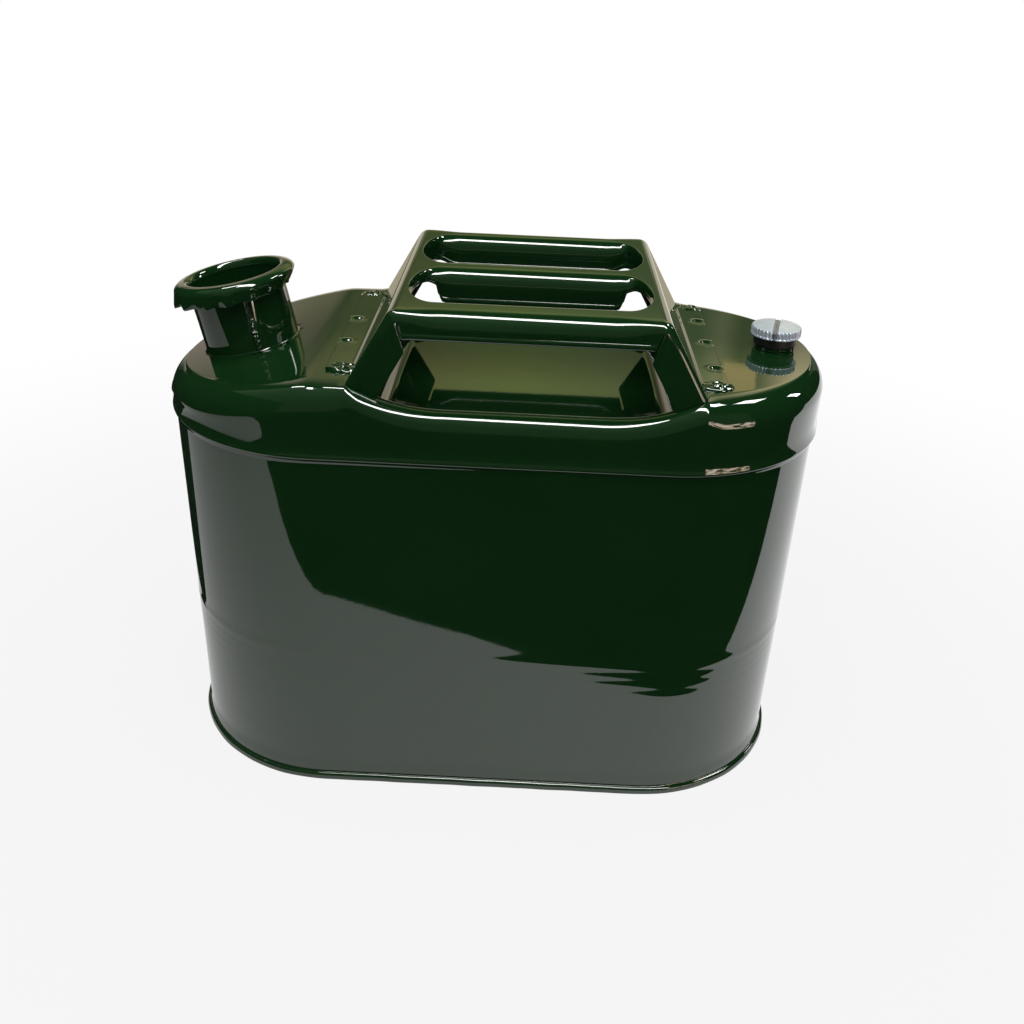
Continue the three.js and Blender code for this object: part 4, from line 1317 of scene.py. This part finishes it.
def tack(side, end, seed):
    sheet = Sheet()
    shift = TACK_SHIFT.get((side, end), (0.0, 0.0))
    middle = (HANDLE_X + side * (FOOT_CORNER + FOOT_WIDTH / 2) + shift[0], end * FOOT_HALF + shift[1])
    turn = np.linspace(0, 2 * math.pi, TACK_STEPS, endpoint=False)
    rows = []
    for r in np.linspace(1, 0.04, TACK_RINGS):
        row = []
        for a in turn:
            ragged = 1 + RAGGED * lump_noise(math.cos(a), math.sin(a), 0, 0.8, seed)
            x = middle[0] + TACK_HALF[0] * r * ragged * math.cos(a)
            y = middle[1] + TACK_HALF[1] * r * ragged * math.sin(a)
            dome = (1 - r * r) ** 0.6
            away = math.hypot(x - middle[0] + CRATER_X * side, y - middle[1])
            crater = CRATER_DEPTH * math.exp(-(away / CRATER_RADIUS) ** 2)
            rise = dome * (1 - crater) * (0.8 + 0.5 * lump_noise(x, y, 0, 2.6, seed))
            row.append((x, y, PLATEAU + GAP / 2 + TACK_HEIGHT * rise))
        rows.append(row)
    sheet.grid(rows, wrap=True)
    sheet.cap(rows[-1])
    sheet.cap(rows[0][::-1])
    return sheet.mesh("tack", closed=True)


for seed, (side, side_name) in enumerate(((-1, "left"), (1, "right"))):
    for end, end_name in ((-1, "front"), (1, "rear")):
        title = f"tack_{end_name}_{side_name}"
        node = f"handle_weld_{end_name}_{side_name}"
        make(title, tack(side, end, 2 * seed + end), green_enamel, "can", [node])

# %% [markdown]
# ## The filler neck
#
# The neck stands square to the sloping pad, so its pieces are turned about their own axis and then tipped
# with it. Tube, collar and root weld share one function for turned pieces, whose radius and height may vary
# round the axis; the vent's pieces use it too.

# %% Turned pieces
NECK_FRAME = Matrix.Translation(Vector((NECK_X, 0, NECK_LOW))) @ Matrix.Rotation(-PAD_SLOPE, 4, "Y")
VENT_FRAME = Matrix.Translation(VENT / MM)


def turned(name, profile, steps, frame_matrix, shape=None):
    """A closed ring from an outline of radius and height, placed by a frame; shape may bend it."""
    turn = np.linspace(0, 2 * math.pi, steps, endpoint=False)
    sheet = Sheet()
    rows = []
    for radius, z in [*profile, profile[0]]:
        row = []
        for a in turn:
            r, h = shape(radius, z, a) if shape else (radius, z)
            row.append(frame_matrix @ Vector((r * math.cos(a), r * math.sin(a), h)))
        rows.append(row)
    sheet.grid(rows, wrap=True)
    return sheet.mesh(name, closed=True)


# %% [markdown]
# ### The tube
#
# The tube is rolled from strip, so it is never quite round: two faint waves run round it and drift with
# height. They keep the pale band that it mirrors from being ruler-straight.

# %% Tube of the neck
NECK_RADIUS = 24.4
NECK_HEIGHT = 33.0
NECK_TAIL = 6.0


def tube_profile():
    bore = NECK_RADIUS - SHEET
    up = [(NECK_RADIUS, z) for z in np.linspace(-NECK_TAIL, NECK_HEIGHT, 24)]
    down = [(bore, z) for z in np.linspace(NECK_HEIGHT, -NECK_TAIL, 10)]
    return up + down


def tube_shape(radius, z, a):
    """A rolled tube is never quite round."""
    return radius + 0.10 * math.sin(3 * a + z / 14) + 0.06 * math.sin(7 * a - z / 9), z


make(
    "neck_tube", turned("neck_tube", tube_profile(), 120, NECK_FRAME, tube_shape),
    green_enamel, "can", ["filler_neck"],
)

# %% [markdown]
# ## The collar
#
# The collar is rolled over the tube's end and its skirt is crimped by hand, so the waves of the hem are
# uneven. Every crimp gets its own depth from a fixed sum of slow waves. The hem flares out on the left, and
# on the right it is calmer and tucked in.

# %% Collar
COLLAR_RIM = 31.5
COLLAR_CROWN = 4.0
COLLAR_SKIRT = 5.6
COLLAR_RIDGE = 2.4
HEM_CURL = 0.3
HEM_LEAN = 1.6
HEM_TUCK = 2.6
CRIMPS = 17
CRIMP_OUT = 0.62
CRIMP_DOWN = 0.42
CRIMP_START = 4
RIGHT_CALM = 0.6
DENT_DEPTH = 0.12
DENT_SIZE = 3.4


def collar_profile():
    bore = NECK_RADIUS - SHEET
    foot = NECK_HEIGHT + GAP
    middle, half = (bore + COLLAR_RIM) / 2, (COLLAR_RIM - bore) / 2
    hem = foot - COLLAR_SKIRT
    ridge = bore + COLLAR_RIDGE
    skirt = [
        (COLLAR_RIM - HEM_CURL * ((foot - z) / COLLAR_SKIRT) ** 3, z)
        for z in np.linspace(hem, foot, 12)
    ]
    crown = [
        (ridge + (COLLAR_RIM - ridge) * math.cos(a), foot + COLLAR_CROWN * math.sin(a))
        for a in np.linspace(0, math.pi / 2, 18)[1:]
    ]
    crown += [
        (ridge + COLLAR_RIDGE * math.cos(a), foot + COLLAR_CROWN * math.sin(a))
        for a in np.linspace(math.pi / 2, math.pi, 12)[1:]
    ]
    under = [
        (middle + (half - SHEET) * math.cos(a), foot + (COLLAR_CROWN - SHEET) * math.sin(a))
        for a in np.linspace(math.pi - 0.3, 0, 14)
    ]
    inside = [(radius - SHEET, z) for radius, z in skirt[::-1]]
    return skirt + crown + under + inside


def collar_shape(radius, z, a):
    """Crimps that grow down the skirt, each a little different, and the lean of the hem."""
    foot = NECK_HEIGHT + GAP
    down = float(smooth(foot + CRIMP_START - z, 0, COLLAR_SKIRT + CRIMP_START)) * (radius > NECK_RADIUS + 1)
    uneven = 1 + 0.25 * math.sin(2 * a + 0.7) + 0.3 * math.sin(5 * a + 2.1)
    phase = CRIMPS * a + 0.9 * math.sin(2 * a + 0.4)
    wave = math.cos(phase) * uneven * down
    dents = DENT_DEPTH * lump_noise(radius * math.cos(a), radius * math.sin(a), z, DENT_SIZE, 11) * down
    right = max(math.cos(a), 0)
    wave *= 1 - RIGHT_CALM * right
    flare = -(HEM_LEAN + HEM_TUCK * right) * math.cos(a) * down ** 2
    return radius + flare + CRIMP_OUT * wave + dents, z - CRIMP_DOWN * wave + dents


make(
    "rolled_collar", turned("rolled_collar", collar_profile(), 340, NECK_FRAME, collar_shape),
    green_enamel, "can", ["neck_collar"],
)

# %% [markdown]
# ### Welds of the neck
#
# A thin fillet runs round the root, and a rough line runs up the tube where the strip was joined. The line
# is smooth near the collar and breaks up into lumps lower down, so its roughness fades with height.

# %% Welds of the neck
ROOT_LEG = 1.1
ROOT_GAP = 0.1
ROOT_BASE = NECK_RADIUS + ROOT_GAP
SEAM_ANGLE = math.radians(-67)
SEAM_HALF = (1.9, 1.4)
SEAM_PROUD = 1.25


def root_shape(radius, z, a):
    """The fillet round the root, a little uneven."""
    share = 1 + 0.16 * lump_noise(30 * math.cos(a), 30 * math.sin(a), 0, 5.0, 3)
    return ROOT_BASE + (radius - ROOT_BASE) * share, z * share


fillet = [(ROOT_BASE, ROOT_GAP), (ROOT_BASE + ROOT_LEG, ROOT_GAP)]
fillet += [
    (ROOT_BASE + ROOT_LEG - ROOT_LEG * math.sin(a), ROOT_GAP + ROOT_LEG - ROOT_LEG * math.cos(a))
    for a in np.linspace(0, math.pi / 2, 8)[1:]
]
make(
    "root_weld", turned("root_weld", fillet, 160, NECK_FRAME, root_shape),
    green_enamel, "can", ["neck_root_weld"],
)


def seam(frame_matrix, radius, low, high, seed):
    """A weld line up a round piece: smooth at the top, broken into small lumps lower down."""
    sheet = Sheet()
    across = np.linspace(-1, 1, 15)
    rows = []
    for z in np.linspace(low, high, 150):
        plain = float(smooth(z, low + 0.45 * (high - low), low + 0.65 * (high - low)))
        half = SEAM_HALF[0] + (SEAM_HALF[1] - SEAM_HALF[0]) * plain
        rough = 0.1 + 1.1 * (1 - plain)
        taper = min(1.0, (z - low) / 1.5, (high - z) / 1.5)
        row = []
        for u in across:
            wander = 0.25 * lump_noise(0, 0, z, 4.0, seed)
            a = SEAM_ANGLE + (u * half + wander) / radius
            lump = 1 + rough * lump_noise(u * 1.6, 0, z, 1.1, seed)
            r = radius - 0.15 + SEAM_PROUD * (1 - u * u) ** 0.8 * lump * max(0.0, taper)
            row.append(frame_matrix @ Vector((r * math.cos(a), r * math.sin(a), z)))
        rows.append(row + [frame_matrix @ Vector((
            (radius - 0.3) * math.cos(SEAM_ANGLE), (radius - 0.3) * math.sin(SEAM_ANGLE), z,
        ))])
    sheet.grid(rows, wrap=True)
    sheet.cap(rows[0][::-1])
    sheet.cap(rows[-1])
    return sheet.mesh("seam", closed=True)


make(
    "seam_weld", seam(NECK_FRAME, NECK_RADIUS, ROOT_LEG * 0.4, NECK_HEIGHT - GAP, 5),
    painted_weld, "can", ["neck_seam_weld"],
)

# %% [markdown]
# ## The closing seam of the wall
#
# The rolled wall is closed by one welded seam at the middle of the back. It is a low, smooth line that
# wanders a little, as a hand-guided torch does.

# %% Wall seam
WALL_SEAM_HALF = 1.6
WALL_SEAM_PROUD = 0.8


def wall_seam():
    sheet = Sheet()
    across = np.linspace(-1, 1, 9)
    rows = []
    for z in np.linspace(FOOT_FLARE_TOP - 8, LIP - GAP, 150):
        taper = min(1.0, (LIP - z) / 2)
        lump = 1 + 0.25 * lump_noise(0, 0, z, 3.0, 8)
        row = [
            (
                u * WALL_SEAM_HALF + 0.3 * lump_noise(0, 0, z, 9.0, 9),
                END_RADIUS - 0.1 + WALL_SEAM_PROUD * math.sqrt(max(0.0, 1 - u * u)) * lump * taper,
                z,
            )
            for u in across
        ]
        rows.append(row + [(0, END_RADIUS - 0.5, z)])
    sheet.grid(rows, wrap=True)
    sheet.cap(rows[0])
    sheet.cap(rows[-1])
    return sheet.mesh("wall_seam", closed=True)


make("wall_seam", wall_seam(), green_enamel, "can", ["body_seam_weld"])

# %% [markdown]
# ## The vent
#
# A boss in the cover, a rubber washer and a knurled screw make the vent. Boss and washer are plain rings:
# an outline with rounded corners, turned about the vent's axis.

# %% Boss and washer
BOSS_RADIUS = 10.5
BOSS_TOP = 1.7
BOSS_LIFT = 0.1
BORE = 5.1
HUB = 8.0
HUB_LENGTH = 12.0
WASHER_RADIUS = 11.0
WASHER_LOW = (washer_low.z / MM) - PLATEAU
WASHER_HIGH = (washer_high.z / MM) - PLATEAU


def rounded(corners, radius):
    """An outline whose corners are replaced by short arcs."""
    outline = []
    count = len(corners)
    for i, corner in enumerate(corners):
        here = Vector(corner)
        before = (Vector(corners[i - 1]) - here).normalized() * radius
        after = (Vector(corners[(i + 1) % count]) - here).normalized() * radius
        for t in (0.0, 0.25, 0.5, 0.75, 1.0):
            point = here + before * (1 - t) ** 2 + after * t ** 2
            outline.append((point.x, point.y))
    return outline


boss_profile = [
    (BORE, -HUB_LENGTH), (HUB, -HUB_LENGTH), (HUB, BOSS_LIFT), (BOSS_RADIUS, BOSS_LIFT),
    (BOSS_RADIUS, BOSS_TOP), (BORE, BOSS_TOP),
]
make(
    "boss_ring", turned("boss_ring", rounded(boss_profile, 0.25), 72, VENT_FRAME),
    green_enamel, "can", ["vent_boss"],
)
washer_profile = [
    (BORE, WASHER_LOW), (WASHER_RADIUS, WASHER_LOW), (WASHER_RADIUS, WASHER_HIGH), (BORE, WASHER_HIGH),
]
make(
    "rubber_washer", turned("rubber_washer", rounded(washer_profile, 0.9), 96, VENT_FRAME),
    black_rubber, "vent_washer", ["vent_washer"],
)

# %% [markdown]
# ### The screw
#
# Head and shank are one turned outline. The knurl is cut straight, so the radius of the head's edge follows
# a cosine round the axis. The drive slot is cut last, with a bar, and its edges are rounded.

# %% Vent screw
HEAD_RADIUS = 12.9
HEAD_LOW = WASHER_HIGH + GAP
HEAD_RIM = 4.4
HEAD_CROWN = 1.3
KNURLS = 38
KNURL_DEPTH = 0.8
SHANK_RADIUS = 4.8
SCREW_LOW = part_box("vent_screw")[0].z / MM - PLATEAU
DRIVE_SLOT_WIDTH = 2.8
DRIVE_SLOT_DEPTH = 1.9
DRIVE_SLOT_BEVEL = 0.18
DRIVE_SLOT_ANGLE = 60
CORE = 0.4
SHANK_CHAMFER = 0.6


def screw_profile():
    top = HEAD_LOW + HEAD_RIM
    crown = top + HEAD_CROWN
    edge = [(HEAD_RADIUS - 0.35, HEAD_LOW), (HEAD_RADIUS, HEAD_LOW + 0.3), (HEAD_RADIUS, HEAD_LOW + 0.7)]
    edge += [(HEAD_RADIUS, z) for z in np.linspace(HEAD_LOW + 1.0, top - 0.6, 6)]
    shoulder = [(HEAD_RADIUS - 0.15, top - 0.25), (HEAD_RADIUS - 0.6, top + 0.05)]
    dome = [
        (r, crown - HEAD_CROWN * (r / (HEAD_RADIUS - 0.6)) ** 2.4)
        for r in np.linspace(HEAD_RADIUS - 1.2, CORE, 9)
    ]
    shank = [
        (CORE, SCREW_LOW), (SHANK_RADIUS - SHANK_CHAMFER, SCREW_LOW),
        (SHANK_RADIUS, SCREW_LOW + SHANK_CHAMFER), (SHANK_RADIUS, HEAD_LOW),
    ]
    return shank + edge + shoulder + dome


def screw_shape(radius, z, a):
    """Straight knurls in the head's edge, with a plain lip below them."""
    above = float(smooth(z, HEAD_LOW + 0.5, HEAD_LOW + 1.1))
    edge = above * float(smooth(radius, HEAD_RADIUS - 0.7, HEAD_RADIUS - 0.3))
    valley = (0.5 - 0.5 * math.cos(KNURLS * a)) ** 0.8
    return radius - KNURL_DEPTH * valley * edge, z


def cut_slot(piece, height):
    """Cuts the drive slot across a screw's head."""
    bar = bmesh.new()
    bmesh.ops.create_cube(bar, size=1)
    size = Matrix.Diagonal((4 * HEAD_RADIUS, DRIVE_SLOT_WIDTH, 2 * DRIVE_SLOT_DEPTH, 1))
    turn = Matrix.Rotation(DRIVE_SLOT_TURN, 4, "Z")
    place = VENT_FRAME @ Matrix.Translation((0, 0, height)) @ turn @ size
    bar.transform(Matrix.Scale(MM, 4) @ place)
    cutter_mesh = bpy.data.meshes.new("slot_bar")
    bar.to_mesh(cutter_mesh)
    bar.free()
    cutter = bpy.data.objects.new("slot_bar", cutter_mesh)
    scene.collection.objects.link(cutter)
    cut = piece.modifiers.new("slot", "BOOLEAN")
    cut.operation = "DIFFERENCE"
    cut.object = cutter
    cut.solver = "EXACT"
    round_edges(piece, DRIVE_SLOT_BEVEL, DRIVE_SLOT_ANGLE)
    settle(piece)
    bpy.data.objects.remove(cutter)


screw_mesh = turned("knurled_screw", screw_profile(), KNURLS * 10, VENT_FRAME, screw_shape)
knurled_screw = make(
    "knurled_screw", screw_mesh, zinc_plate, "vent_screw", ["vent_screw"],
)
cut_slot(knurled_screw, HEAD_LOW + HEAD_RIM + HEAD_CROWN)
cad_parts["vent_stop_ring"].data.materials.clear()
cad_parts["vent_stop_ring"].data.materials.append(plain_steel)
print("screw:", len(knurled_screw.data.polygons), "faces")
